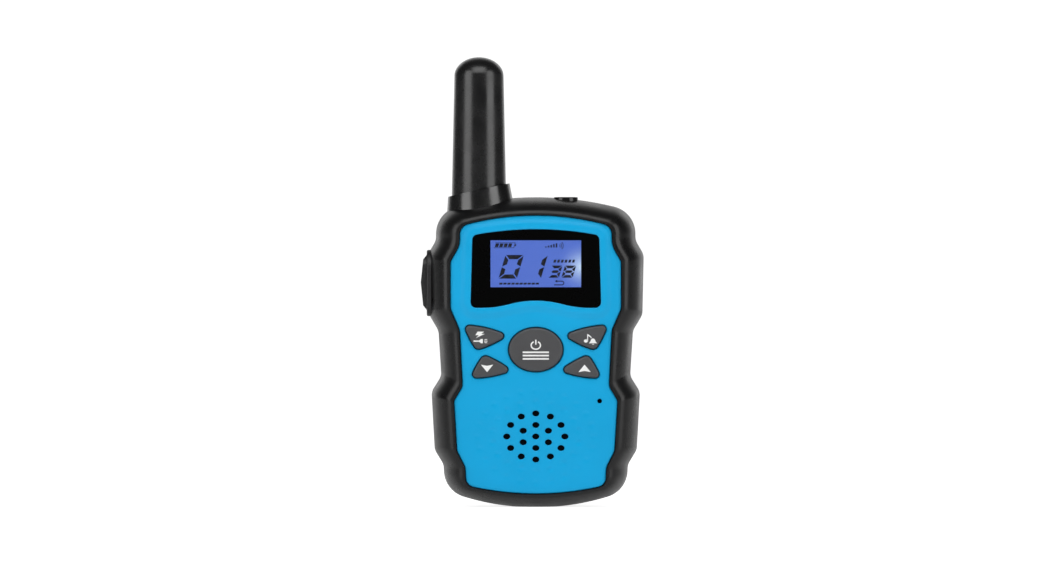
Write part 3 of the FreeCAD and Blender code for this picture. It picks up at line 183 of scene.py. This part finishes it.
def metal(name, colour, roughness, brush, depth=0.004):
    """Bare or plated metal with fine marks along one direction."""
    made = Graph(name)
    marks = made.noise(BRUSH_MARKS, detail=3.0, stretch=brush)
    made.base(made.mix(made.remap(marks, 0.0, 1.0), shade(colour, METAL_DARK), shade(colour, METAL_LIGHT)))
    made.roughness(made.remap(marks, roughness - METAL_SMOOTHER, roughness + METAL_ROUGHER))
    made.normal(made.bump(marks, depth, strength=0.6))
    made.set(metallic=1.0)
    return made


def clear(name, colour, roughness, ior=1.49):
    """Clear moulded plastic of slightly uneven tint."""
    made = Graph(name)
    patches = made.noise(CLEAR_PATCHES, detail=3.0)
    made.base(made.mix(made.remap(patches, 0.0, 1.0), shade(colour, CLEAR_DARK), colour))
    made.set(roughness=roughness, transmission_weight=1.0, ior=ior)
    return made


def backlit(name, glow, painted_glare, centre, reach, falloff=2.2):
    """Liquid crystal panel lit from behind, with a painted glare: its glow grows brighter round one place."""
    made = Graph(name)
    away = made.node("ShaderNodeVectorMath", operation="DISTANCE")
    made.link(made.place, away, 0)
    away.inputs[1].default_value = [part * MM for part in centre]
    near = made.node("ShaderNodeMath", operation="POWER")
    fading = made.remap(away.outputs["Value"], low=1.0, high=0.0, from_low=0.0, from_high=reach * MM)
    made.link(fading, near, 0)
    near.inputs[1].default_value = falloff
    made.link(made.mix(near.outputs["Value"], glow, painted_glare), made.surface, "Emission Color")
    made.base(made.mix(made.noise(CRYSTAL_PATCHES), (0.010, 0.016, 0.050), (0.013, 0.020, 0.060)))
    made.set(emission_strength=1.0, roughness=0.3)
    return made


MATERIALS = {
    "case_black": moulded("case_black", (0.0045, 0.0045, 0.0048), 0.30, depth=0.006, mottle=0.12,
                          specular=0.36),
    "collar_black": moulded("collar_black", (0.0040, 0.0040, 0.0043), 0.20, depth=0.004, mottle=0.10,
                            specular=0.9),
    "felt": moulded("felt", (0.006, 0.006, 0.006), 0.95, grain=2200, depth=0.08, mottle=0.3),
    "bezel_black": moulded("bezel_black", (0.0040, 0.0040, 0.0043), 0.16, depth=0.003),
    "plate_blue": moulded("plate_blue", (0.0030, 0.345, 0.655), 0.34, grain=4200.0, depth=0.006, mottle=0.03,
                          specular=0.25),
    "lens_clear": clear("lens_clear", (0.97, 0.98, 1.0), 0.0),
    "mask_black": moulded("mask_black", (0.003, 0.003, 0.0035), 0.3, depth=0.002),
    # The display's backlit glow, with a painted glare that brightens it round the centre given here.
    "lcd": backlit("lcd", glow=(0.085, 0.165, 0.610), painted_glare=(0.62, 0.80, 1.0),
                   centre=(14.6, -12.75, 77.3), reach=8.5),
    "white_plastic": moulded("white_plastic", (0.78, 0.78, 0.76), 0.45),
    "key_grey": moulded("key_grey", (0.055, 0.055, 0.058), 0.46),
    "silicone": moulded("silicone", (0.52, 0.53, 0.54), 0.5),
    "board_green": moulded("board_green", (0.015, 0.13, 0.055), 0.3),
    "tin_steel": metal("tin_steel", (0.62, 0.62, 0.60), 0.3, (1, 1, 12)),
    "chip_black": moulded("chip_black", (0.018, 0.018, 0.019), 0.55),
    "capacitor_can": metal("capacitor_can", (0.34, 0.36, 0.42), 0.3, (1, 1, 10)),
    "basket_steel": moulded("basket_steel", (0.03, 0.03, 0.032), 0.35),
    "magnet": moulded("magnet", (0.10, 0.10, 0.11), 0.4),
    "cone_paper": moulded("cone_paper", (0.035, 0.034, 0.032), 0.8),
    "mesh_cloth": moulded("mesh_cloth", (0.003, 0.003, 0.0035), 0.85, specular=0.1),
    "antenna_rubber": moulded("antenna_rubber", (0.0045, 0.0045, 0.0048), 0.27, depth=0.006, mottle=0.10,
                              specular=0.6),
    "copper": metal("copper", (0.70, 0.33, 0.17), 0.28, (1, 1, 20)),
    "brass": metal("brass", (0.70, 0.51, 0.22), 0.28, (1, 1, 14)),
    "lamp_clear": clear("lamp_clear", (0.95, 0.96, 0.98), 0.02),
    "led_epoxy": clear("led_epoxy", (0.96, 0.95, 0.88), 0.03, 1.53),
    "black_rubber": moulded("black_rubber", (0.0090, 0.0090, 0.0095), 0.46, depth=0.006),
    "battery_wrap": moulded("battery_wrap", (0.02, 0.08, 0.19), 0.25),
    "nickel": metal("nickel", (0.70, 0.69, 0.65), 0.2, (8, 1, 1)),
    "screw_steel": metal("screw_steel", (0.36, 0.36, 0.37), 0.32, (6, 1, 6)),
    "wire_red": moulded("wire_red", (0.45, 0.02, 0.014), 0.35),
    "wire_black": moulded("wire_black", (0.016, 0.016, 0.017), 0.35),
    "print_white": moulded("print_white", (0.80, 0.80, 0.79), 0.5, depth=0.006),
    "lcd_ink": moulded("lcd_ink", (0.006, 0.007, 0.018), 0.4, depth=0.001),
}

for row in frame["record"]["subparts"]:
    for holder in frame["nodes"][row["node"]].material_slots:
        holder.material = MATERIALS[row["material_slot"]].material


# ---------------------------------------------------------------------------------------------
# Building pieces

# Edges that turn by more than this many degrees stay sharp.
PRINT_SMOOTH = 20.0
PLATE_SMOOTH = 50.0


def finished(name, mesh, material, body, smooth_angle):
    """Links a mesh as a piece of the object that rides on a body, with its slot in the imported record."""
    mesh.polygons.foreach_set("use_smooth", [True] * len(mesh.polygons))
    mesh.set_sharp_from_angle(angle=math.radians(smooth_angle))
    mesh.materials.append(MATERIALS[material].material)
    piece = bpy.data.objects.new(name, mesh)
    bpy.context.scene.collection.objects.link(piece)
    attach(piece, body)
    return piece


def flat_piece(name, shapes, front, thickness, material, body):
    """Thin printed shapes: outlines of (x, z) in millimetres, with their face at y = front."""
    work = bmesh.new()
    for shape in shapes:
        ring = [work.verts.new((x * MM, (front + thickness) * MM, z * MM)) for x, z in shape]
        face = work.faces.new(ring)
        raised = bmesh.ops.extrude_face_region(work, geom=[face])["geom"]
        for vert in raised:
            if isinstance(vert, bmesh.types.BMVert):
                vert.co.y = front * MM
    bmesh.ops.recalc_face_normals(work, faces=work.faces)
    bmesh.ops.triangulate(work, faces=work.faces)
    mesh = bpy.data.meshes.new(name)
    work.to_mesh(mesh)
    work.free()
    finished(name, mesh, material, body, PRINT_SMOOTH)


# ---------------------------------------------------------------------------------------------
# Blue face plate, with its soft relief

PLATE_EDGE = 0.35  # rounding of the long edges; a small hole's is less
HOLE_EDGE = 0.12
HOLE_EDGE_GROWTH = 0.1  # by the square root of the hole's area
EDGE_ROWS = 4
OUTLINE_STEP = 0.4
FEWEST_POINTS = 20  # on an evenly spaced outline
PLATE_GRID = 0.45
GRID_ROWS = 0.866  # from row to row of the grid, as a share of its step, so that its triangles are even
GRID_CLEARANCE = 0.55  # from the outlines to the grid, as a share of its step
PILLOW_RISE = 0.50
PILLOW_REACH = 4.0
PILLOW_SLOPE = 2.6
DIMPLE_RINGS = (3, 4)
DIMPLE_DEPTH = 0.16
DIMPLE_FADE = 0.72  # the outer ring's depth, as a share of the inner one's
DIMPLE_HALF_WIDTH = 1.13
DIMPLE_HALF_HEIGHT = 0.94
DIMPLE_SOFTNESS = 1.25
RING_STEP_X = 4.67
RING_STEP_Z = 3.7
SPEAKER_HEIGHT = 22.8
LEVEL_TOLERANCE = 0.005
WELD = 1e-6  # points nearer than this are one point, whatever the unit


def front_loops(node, level):
    """The closed outlines of a CAD node's flat front at y = level, as arrays of (x, z) in millimetres."""
    work = bmesh.new()
    work.from_mesh(frame["nodes"][node].data)
    bmesh.ops.remove_doubles(work, verts=work.verts, dist=WELD)
    flat = {face for face in work.faces
            if all(abs(vert.co.y / MM - level) < LEVEL_TOLERANCE for vert in face.verts)}
    neighbours = {}
    for edge in work.edges:
        if sum(face in flat for face in edge.link_faces) == 1:
            for vert, other in (edge.verts, reversed(edge.verts)):
                neighbours.setdefault(vert, []).append(other)
    loops = []
    used = set()
    for start in neighbours:
        if start in used:
            continue
        loop = []
        here, before = start, None
        while here not in used:
            used.add(here)
            loop.append((here.co.x / MM, here.co.z / MM))
            ahead = [vert for vert in neighbours[here] if vert is not before]
            before, here = here, ahead[0]
        loops.append(np.array(loop))
    work.free()
    return loops


def signed_area(loop):
    """Area inside a closed outline, positive where the way round it is anticlockwise."""
    x, z = loop[:, 0], loop[:, 1]
    return 0.5 * float(np.sum(x * np.roll(z, -1) - z * np.roll(x, -1)))


def respaced(loop, step):
    """The same closed outline with evenly spaced points."""
    closed = np.vstack([loop, loop[:1]])
    travelled = np.concatenate([[0.0], np.cumsum(np.linalg.norm(np.diff(closed, axis=0), axis=1))])
    count = max(FEWEST_POINTS, round(travelled[-1] / step))
    wanted = np.arange(count) * travelled[-1] / count
    return np.stack([np.interp(wanted, travelled, closed[:, axis]) for axis in (0, 1)], axis=1)


def leftward(loop):
    """Unit normals to the left of the way round an outline."""
    ahead = np.roll(loop, -1, axis=0) - np.roll(loop, 1, axis=0)
    ahead /= np.linalg.norm(ahead, axis=1)[:, None]
    return np.stack([-ahead[:, 1], ahead[:, 0]], axis=1)


def inside(points, loop):
    """Which points lie inside a closed outline."""
    result = np.zeros(len(points), bool)
    for (x1, z1), (x2, z2) in zip(loop, np.roll(loop, -1, axis=0)):
        if z1 == z2:
            continue
        crosses = (z1 > points[:, 1]) != (z2 > points[:, 1])
        result ^= crosses & (points[:, 0] < (x2 - x1) * (points[:, 1] - z1) / (z2 - z1) + x1)
    return result


def distance_to(points, loop, reach=6.0):
    """Distance from each point to an outline's nearest point, up to a reach."""
    nearest = np.full(len(points), reach)
    for x, z in loop:
        near = np.hypot(points[:, 0] - x, points[:, 1] - z)
        np.minimum(nearest, near, out=nearest)
    return nearest


def smooth_step(value):
    """0 below 0, 1 above 1, and a smooth curve between."""
    value = np.clip(value, 0.0, 1.0)
    return value * value * (3 - 2 * value)


def dimple_centres():
    """Two rings of shallow dimples that carry the rings of sound holes on outwards: x, z and depth."""
    for ring in DIMPLE_RINGS:
        count = 6 * ring
        for step in range(count):
            angle = math.tau * (step + 0.5 * (ring % 2)) / count
            x = ring * RING_STEP_X * math.cos(angle)
            z = SPEAKER_HEIGHT + ring * RING_STEP_Z * math.sin(angle)
            yield x, z, DIMPLE_DEPTH * DIMPLE_FADE ** (ring - DIMPLE_RINGS[0])


def plate_relief(points, window):
    """How far the plate's front stands forward of flat: a soft rise round the display, and the dimples."""
    rise = PILLOW_RISE * smooth_step((PILLOW_REACH - distance_to(points, window)) / PILLOW_SLOPE)
    for x, z, depth in dimple_centres():
        far = np.hypot((points[:, 0] - x) / DIMPLE_HALF_WIDTH, (points[:, 1] - z) / DIMPLE_HALF_HEIGHT)
        rise -= depth * smooth_step(DIMPLE_SOFTNESS - far)
    return rise


def plate_outlines(front):
    """The plate's outlines, each with the material on its left: the outer one, the window, then the holes."""
    loops = sorted(front_loops("face_plate", front), key=lambda loop: -abs(signed_area(loop)))
    outlines = []
    for number, loop in enumerate(loops):
        anticlockwise = signed_area(loop) > 0
        is_outer = number == 0
        outlines.append(respaced(loop if anticlockwise == is_outer else loop[::-1], OUTLINE_STEP))
    return outlines


def edge_radius(loop):
    """Rounding of the edge along an outline, less round a small hole."""
    return min(PLATE_EDGE, HOLE_EDGE + HOLE_EDGE_GROWTH * math.sqrt(abs(signed_area(loop))))


def within(points, outlines):
    """Which points lie inside the first outline and outside all the others."""
    result = inside(points, outlines[0])
    for hole in outlines[1:]:
        result &= ~inside(points, hole)
    return result


def plate_grid(tops):
    """Staggered rows of points over the plate's face, clear of its outlines."""
    across = np.arange(PLATE_LOW.x, PLATE_HIGH.x, PLATE_GRID)
    up = np.arange(PLATE_LOW.z, PLATE_HIGH.z, PLATE_GRID * GRID_ROWS)
    grid = np.array([(x + PLATE_GRID / 2 * (row % 2), z) for row, z in enumerate(up) for x in across])
    grid = grid[within(grid, tops)]
    for top in tops:
        grid = grid[distance_to(grid, top) > PLATE_GRID * GRID_CLEARANCE]
    return grid


def numbered(loops):
    """The numbers of each outline's points, where the outlines follow one another."""
    rims = []
    start = 0
    for loop in loops:
        rims.append(np.arange(start, start + len(loop)))
        start += len(loop)
    return rims


def filled(tops, rims, extra):
    """Triangles over the material between the outlines. Corners are numbered through tops and then extra."""
    flat_points = [Vector(point) for points in (*tops, extra) for point in points]
    borders = [(int(a), int(b)) for rim in rims for a, b in zip(rim, np.roll(rim, -1))]
    places, _, faces, sources, *_ = delaunay_2d_cdt(flat_points, borders, [], 0, WELD)
    places = np.array([tuple(point) for point in places])
    centres = np.array([places[face].mean(axis=0) for face in faces])
    solid = within(centres, tops)
    return [[sources[corner][0] for corner in face] for face, good in zip(faces, solid) if good]


def edge_rings(loop, edge, lifts, front, back):
    """Rings of points down an edge: rounded from the raised face, then straight to the flat back."""
    for row in range(1, EDGE_ROWS + 1):
        angle = math.radians(90) * row / EDGE_ROWS
        ring = loop + leftward(loop) * edge * (1 - math.sin(angle))
        level = front + edge * (1 - math.cos(angle))
        yield [(x, level - lift, z) for (x, z), lift in zip(ring, lifts)]
    yield [(x, back, z) for x, z in loop]


def face_plate():
    """The plate's relief over its front, its rounded edges and its flat back, as one closed mesh."""
    front, back = PLATE_LOW.y, PLATE_HIGH.y
    loops = plate_outlines(front)
    window = loops[1]
    edges = [edge_radius(loop) for loop in loops]
    tops = [loop + leftward(loop) * edge for loop, edge in zip(loops, edges)]
    rims = numbered(tops)
    grid = plate_grid(tops)

    top_points = np.vstack([*tops, grid])
    rise = plate_relief(top_points, window)
    points = [(x, front - lift, z) for (x, z), lift in zip(top_points, rise)]
    faces = filled(tops, rims, grid)
    turned_over = {}
    for loop, rim, edge in zip(loops, rims, edges):
        upper = rim
        for ring in edge_rings(loop, edge, rise[rim], front, back):
            lower = np.arange(len(points), len(points) + len(ring))
            points += ring
            for corners in zip(upper, np.roll(upper, -1), np.roll(lower, -1), lower):
                faces.append([int(corner) for corner in corners])
            upper = lower
        turned_over.update(zip(rim.tolist(), upper.tolist()))
    faces += [[turned_over[corner] for corner in reversed(face)] for face in filled(tops, rims, [])]

    mesh = bpy.data.meshes.new("face_plate_relief")
    mesh.from_pydata([tuple(part * MM for part in point) for point in points], [], faces)
    work = bmesh.new()
    work.from_mesh(mesh)
    bmesh.ops.recalc_face_normals(work, faces=work.faces)
    work.to_mesh(mesh)
    work.free()
    piece = finished("face_plate_relief", mesh, "plate_blue", "handset", PLATE_SMOOTH)
    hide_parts("face_plate")


# ---------------------------------------------------------------------------------------------
# Printed marks on the keys

# Where each mark stands on the front: x and z.
POWER_SIGN = (0.0, 52.1)
MENU_BARS = (0.0, 47.5)
BOLT = (-17.8, 55.35)
TORCH = (-18.2, 53.45)
NOTE = (16.1, 53.5)
BELL = (18.35, 52.75)
ARROW_SIDE = 15.65
ARROW_LOW = 43.5
ARROW_HIGH = 45.9
ARROW_HALF_WIDTH = 1.98
ARROW_NOTCH = 0.16
PRINT_SUNK = 0.04  # how much of a mark's thickness is in the key
PRINT_THICKNESS = 0.06


def arc(x, z, across, up, start, end, steps=24):
    """Points along an elliptical arc, from one angle to another in degrees."""
    angles = [math.radians(start + (end - start) * step / steps) for step in range(steps + 1)]
    return [(x + across * math.cos(angle), z + up * math.sin(angle)) for angle in angles]


def arc_band(x, z, across, up, stroke, start, end):
    """A curved stroke along an elliptical arc."""
    half = stroke / 2
    outer = arc(x, z, across + half, up + half, start, end)
    inner = arc(x, z, across - half, up - half, end, start)
    return [*outer, *inner]


def bar(low_x, low_z, high_x, high_z):
    return [(low_x, low_z), (high_x, low_z), (high_x, high_z), (low_x, high_z)]


def slanted(shape, base, slant):
    """The shape leaning over, with its points at the base's height left where they are."""
    return [(x + (z - base) * slant, z) for x, z in shape]


def placed(shapes, place):
    """Shapes that are drawn round (0, 0), moved to a place."""
    x, z = place
    return [[(x + across, z + up) for across, up in shape] for shape in shapes]


def menu_marks():
    """Power sign over three bars."""
    sign = [arc_band(0.0, 0.0, 1.5, 1.25, 0.42, 118, 422), bar(-0.22, 0.2, 0.22, 1.8)]
    bars = [bar(-4.2, level, 4.2, level + 0.52) for level in (0.0, 1.05, 2.1)]
    return [*placed(sign, POWER_SIGN), *placed(bars, MENU_BARS)]


def lamp_marks():
    """Bolt of lightning over a small torch with its beam."""
    bolt = [(-0.9, 1.15), (1.2, 1.15), (0.3, 0.4), (1.4, 0.4), (-1.4, -0.9), (-0.5, 0.0), (-1.6, 0.0)]
    torch = [(-1.8, -0.2), (0.0, -0.2), (0.6, -0.7), (1.2, -0.7), (1.2, 0.7), (0.6, 0.7), (0.0, 0.2),
             (-1.8, 0.2)]
    middle_ray = bar(1.6, -0.11, 2.7, 0.11)
    upper_ray = slanted(bar(1.6, 0.4, 2.4, 0.62), 0.4, 1.5)
    lower_ray = slanted(bar(1.6, -0.62, 2.4, -0.4), -0.4, -1.5)
    return [*placed([bolt], BOLT), *placed([torch, middle_ray, upper_ray, lower_ray], TORCH)]


def call_marks():
    """Musical note and a bell."""
    head = arc(0.0, 0.0, 0.68, 0.52, 0, 345)
    stem = bar(0.4, 0.0, 0.68, 2.2)
    flag = [(0.6, 2.25), (1.8, 1.25), (1.65, 0.75), (1.4, 1.25), (0.6, 1.65)]
    dome = arc(0.0, 0.6, 0.78, 0.95, 175, 5)
    bell = [(-1.35, 0.0), (-1.0, 0.4), *dome, (1.0, 0.4), (1.35, 0.0)]
    clapper = arc(0.0, -0.2, 0.3, 0.26, 180, 360)
    return [*placed([head, stem, flag], NOTE), *placed([bell, clapper], BELL)]


def arrow_marks(side, up):
    """Notched arrow head, point up or down."""
    x = ARROW_SIDE * side
    tip, base = (ARROW_HIGH, ARROW_LOW) if up else (ARROW_LOW, ARROW_HIGH)
    notch = base + (tip - base) * ARROW_NOTCH
    return [[(x - ARROW_HALF_WIDTH, base), (x, notch), (x + ARROW_HALF_WIDTH, base), (x, tip)]]


def key_marks():
    """The white print on each key, which rides on the key."""
    marks = {
        "menu_key": menu_marks(),
        "lamp_key": lamp_marks(),
        "call_key": call_marks(),
        "down_key": arrow_marks(-1, False),
        "up_key": arrow_marks(1, True),
    }
    for key, shapes in marks.items():
        front = front_of(key) - (PRINT_THICKNESS - PRINT_SUNK)
        flat_piece(key + "_print", shapes, front, PRINT_THICKNESS, "print_white", key)


# ---------------------------------------------------------------------------------------------
# Liquid crystal display

SLANT = 0.30
LIT = {"0": "abcdef", "1": "bc", "3": "abcdg", "8": "abcdefg"}
# Each digit's place and size: x, z, width, height and thickness of its bars.
DIGITS = [
    ("0", -12.0, 73.5, 5.9, 7.6, 1.35),
    ("1", -4.3, 73.5, 5.9, 7.6, 1.35),
    ("3", 3.9, 73.8, 3.5, 3.9, 0.85),
    ("8", 8.2, 73.8, 3.6, 3.9, 0.85),
]
MITRE_GAP = 0.18  # gap between two bars of a digit, as a share of their thickness
# Where the symbols stand: x and z.
CHARGE = (-13.5, 83.35)
SIGNAL = (3.0, 83.5)
WAVES = (7.3, 84.1)
RETURN = (8.4, 72.1)
INK_CLEARANCE = 0.03  # from the glass to the marks' front
INK_THICKNESS = 0.02


def digit_segments(x, z, width, height, stroke):
    """The seven bars of a digit, mitred where they meet: the names are those used for such displays."""
    gap = stroke * MITRE_GAP
    middle = height / 2

    def mirrored(shape):
        return [(width - across, up) for across, up in shape]

    def flipped(shape):
        return [(across, height - up) for across, up in shape]

    top = [(gap, height), (width - gap, height), (width - gap - stroke, height - stroke),
           (gap + stroke, height - stroke)]
    upper_right = [(width, height - gap), (width, middle + gap / 2),
                   (width - stroke, middle + (gap + stroke) / 2), (width - stroke, height - gap - stroke)]
    centre = [(gap + stroke / 2, middle), (gap + stroke, middle + stroke / 2),
              (width - gap - stroke, middle + stroke / 2), (width - gap - stroke / 2, middle),
              (width - gap - stroke, middle - stroke / 2), (gap + stroke, middle - stroke / 2)]
    shapes = {"a": top, "b": upper_right, "c": flipped(upper_right), "d": flipped(top),
              "e": mirrored(flipped(upper_right)), "f": mirrored(upper_right), "g": centre}
    return {name: slanted(placed([shape], (x, z))[0], z, SLANT) for name, shape in shapes.items()}


def bar_row(x, z, count, step, width, height):
    """A row of bars that lean as the digits do."""
    lefts = [x + step * number for number in range(count)]
    return [slanted(bar(left, z, left + width, z + height), z, SLANT) for left in lefts]


def charge_outline():
    """The outline of a battery with its nib."""
    lower = bar(0.0, 0.0, 6.3, 0.15)
    upper = bar(0.0, 1.6, 6.3, 1.75)
    end = bar(6.3, 0.0, 6.5, 1.75)
    nib = bar(6.55, 0.55, 6.9, 1.2)
    return placed([slanted(shape, 0.0, SLANT) for shape in (lower, upper, end, nib)], CHARGE)


def signal_strength():
    """Five rising bars with three waves beside them."""
    rising = [bar(0.85 * step, 0.0, 0.85 * step + 0.5, 0.35 + 0.25 * step) for step in range(5)]
    waves = [arc_band(0.0, 0.0, reach, reach, 0.2, -48, 48) for reach in (0.5, 1.0, 1.5)]
    return [*placed(rising, SIGNAL), *placed(waves, WAVES)]


def return_arrow():
    """A line that bends back on itself, with an arrow head."""
    lower = bar(-2.5, -0.75, 0.0, -0.45)
    bend = arc_band(0.0, 0.0, 0.6, 0.6, 0.3, -90, 90)
    upper = bar(-1.5, 0.45, 0.0, 0.75)
    head = [(-1.5, 0.15), (-1.5, 1.05), (-2.3, 0.6)]
    return placed([lower, bend, upper, head], RETURN)


def display_symbols():
    """Charge level, signal strength, a row of tone bars, a row of idle bars and a return arrow."""
    charge = bar_row(-13.2, 83.65, count=4, step=1.4, width=1.1, height=1.15)
    tone = bar_row(5.6, 78.65, count=6, step=1.2, width=0.75, height=0.95)
    idle = bar_row(-11.8, 71.6, count=10, step=1.3, width=1.0, height=0.6)
    return [*charge, *charge_outline(), *signal_strength(), *tone, *idle, *return_arrow()]


def liquid_crystal():
    """Everything that the display shows, as one thin piece just in front of its glass."""
    shapes = display_symbols()
    for digit, *place in DIGITS:
        segments = digit_segments(*place)
        shapes += [segments[name] for name in LIT[digit]]
    front = front_of("lcd_glass") - INK_CLEARANCE
    flat_piece("display_marks", shapes, front, INK_THICKNESS, "lcd_ink", "handset")


face_plate()
key_marks()
liquid_crystal()


# ---------------------------------------------------------------------------------------------
# Stage, camera and lights

# What the camera sees, in millimetres: the picture's width at the face plate, and the point in its middle.
VIEW_WIDTH = 337.1
VIEW_SIDE = -3.47
VIEW_HEIGHT = 71.3
# From here on, lengths are in metres.
CAMERA_DISTANCE = 2.6
VIEW_PLANE = 0.0145  # how far the face plate stands in front of the origin
CAMERA_REACH = 50.0
SENSOR_WIDTH = 36.0
LIT_POINT = Vector((0, 0, 0.07))
FLOOR_HALF_WIDTH = 12.0
FLOOR_NEAR = 0.82  # the floor brightens between these two distances from the origin
FLOOR_FAR = 0.98
# Strengths of light.
FLOOR_FILL = 0.25
FLOOR_BRIGHT = 1.3
ROOM_FRONT = 0.06
ROOM_BACK = 0.6
WALL_START = 0.5  # the bright wall lies where a direction's y is above this
WHITE = 1.05


def make_camera():
    """A camera straight in front, far enough away to see the front with little perspective."""
    data = bpy.data.cameras.new("camera")
    data.sensor_width = SENSOR_WIDTH
    data.lens = data.sensor_width * CAMERA_DISTANCE / (VIEW_WIDTH * MM)
    data.clip_end = CAMERA_REACH
    camera = bpy.data.objects.new("camera", data)
    camera.location = (VIEW_SIDE * MM, -CAMERA_DISTANCE - VIEW_PLANE, VIEW_HEIGHT * MM)
    camera.rotation_euler = (math.radians(90), 0, 0)
    bpy.context.scene.collection.objects.link(camera)
    bpy.context.scene.camera = camera


def softbox(name, azimuth, elevation, distance, width, height, power):
    """A rectangular area light that faces the object's middle. Azimuth 0 is in front, 90 on the +X side."""
    data = bpy.data.lights.new(name, "AREA")
    data.shape = "RECTANGLE"
    data.size = width
    data.size_y = height
    data.energy = power
    light = bpy.data.objects.new(name, data)
    turn, lift = math.radians(azimuth), math.radians(elevation)
    away = Vector((math.sin(turn) * math.cos(lift), -math.cos(turn) * math.cos(lift), math.sin(lift)))
    light.location = LIT_POINT + away * distance
    light.rotation_euler = away.to_track_quat("Z", "Y").to_euler()
    bpy.context.scene.collection.objects.link(light)


def make_floor():
    """A wide white floor. The camera sees it glow, but less near the object, so that the shadow shows."""
    mesh = bpy.data.meshes.new("floor")
    corners = [(FLOOR_HALF_WIDTH * x, FLOOR_HALF_WIDTH * y, 0)
               for x, y in ((-1, -1), (1, -1), (1, 1), (-1, 1))]
    mesh.from_pydata(corners, [], [(0, 1, 2, 3)])
    floor = bpy.data.objects.new("floor", mesh)
    bpy.context.scene.collection.objects.link(floor)
    made = Graph("floor_white")
    made.base(made.mix(made.noise(FLOOR_PATCHES), (0.78, 0.78, 0.78), (0.81, 0.81, 0.81)))
    made.set(roughness=0.8, specular_ior_level=0.2)
    away = made.node("ShaderNodeVectorMath", operation="LENGTH")
    made.link(made.place, away, 0)
    glow = made.remap(away.outputs["Value"], FLOOR_NEAR, FLOOR_FAR, FLOOR_FILL, FLOOR_BRIGHT)
    seen = made.node("ShaderNodeMath", operation="MULTIPLY")
    made.link(glow, seen, 0)
    made.link(made.node("ShaderNodeLightPath").outputs["Is Camera Ray"], seen, 1)
    lit = made.node("ShaderNodeMath", operation="MAXIMUM")
    made.link(seen.outputs["Value"], lit, 0)
    lit.inputs[1].default_value = FLOOR_FILL
    emission = made.node("ShaderNodeEmission")
    made.link(lit.outputs["Value"], emission, "Strength")
    both = made.node("ShaderNodeAddShader")
    made.link(made.surface.outputs["BSDF"], both, 0)
    made.link(emission.outputs["Emission"], both, 1)
    made.link(both.outputs["Shader"], made.tree.nodes["Material Output"], "Surface")
    mesh.materials.append(made.material)


def make_world():
    """White to the camera. The surfaces see a dim room with a bright wall behind the object."""
    world = bpy.data.worlds.new("studio")
    bpy.context.scene.world = world
    world.use_nodes = True
    tree = world.node_tree

    def ramp(value, from_low, from_high, low, high):
        made = tree.nodes.new("ShaderNodeMapRange")
        settings = {"From Min": from_low, "From Max": from_high, "To Min": low, "To Max": high}
        for socket, number in settings.items():
            made.inputs[socket].default_value = number
        tree.links.new(value, made.inputs["Value"])
        return made

    direction = tree.nodes.new("ShaderNodeSeparateXYZ")
    tree.links.new(tree.nodes.new("ShaderNodeTexCoord").outputs["Generated"], direction.inputs["Vector"])
    room = ramp(direction.outputs["Y"], WALL_START, 1.0, ROOM_FRONT, ROOM_BACK)
    seen = tree.nodes.new("ShaderNodeLightPath").outputs["Is Camera Ray"]
    strength = ramp(seen, 0.0, 1.0, ROOM_FRONT, WHITE)
    tree.links.new(room.outputs["Result"], strength.inputs["To Min"])
    background = tree.nodes["Background"]
    background.inputs["Color"].default_value = (1, 1, 1, 1)
    tree.links.new(strength.outputs["Result"], background.inputs["Strength"])


def make_lights():
    """Two tall strips in front, one light overhead, and weak ones behind that draw the rims."""
    softbox("left_strip", azimuth=-52, elevation=6, distance=1.1, width=0.66, height=1.3, power=7.0)
    softbox("right_strip", azimuth=54, elevation=6, distance=1.1, width=0.66, height=1.3, power=7.0)
    softbox("overhead", azimuth=0, elevation=50, distance=1.1, width=1.0, height=0.8, power=7.0)
    softbox("left_rim", azimuth=-150, elevation=8, distance=1.3, width=0.42, height=1.2, power=1.0)
    softbox("right_rim", azimuth=150, elevation=8, distance=1.3, width=0.42, height=1.2, power=1.0)
    softbox("back_top", azimuth=180, elevation=28, distance=1.2, width=1.0, height=0.5, power=0.6)


make_camera()
make_floor()
make_world()
make_lights()

bpy.context.scene.view_settings.view_transform = "Standard"
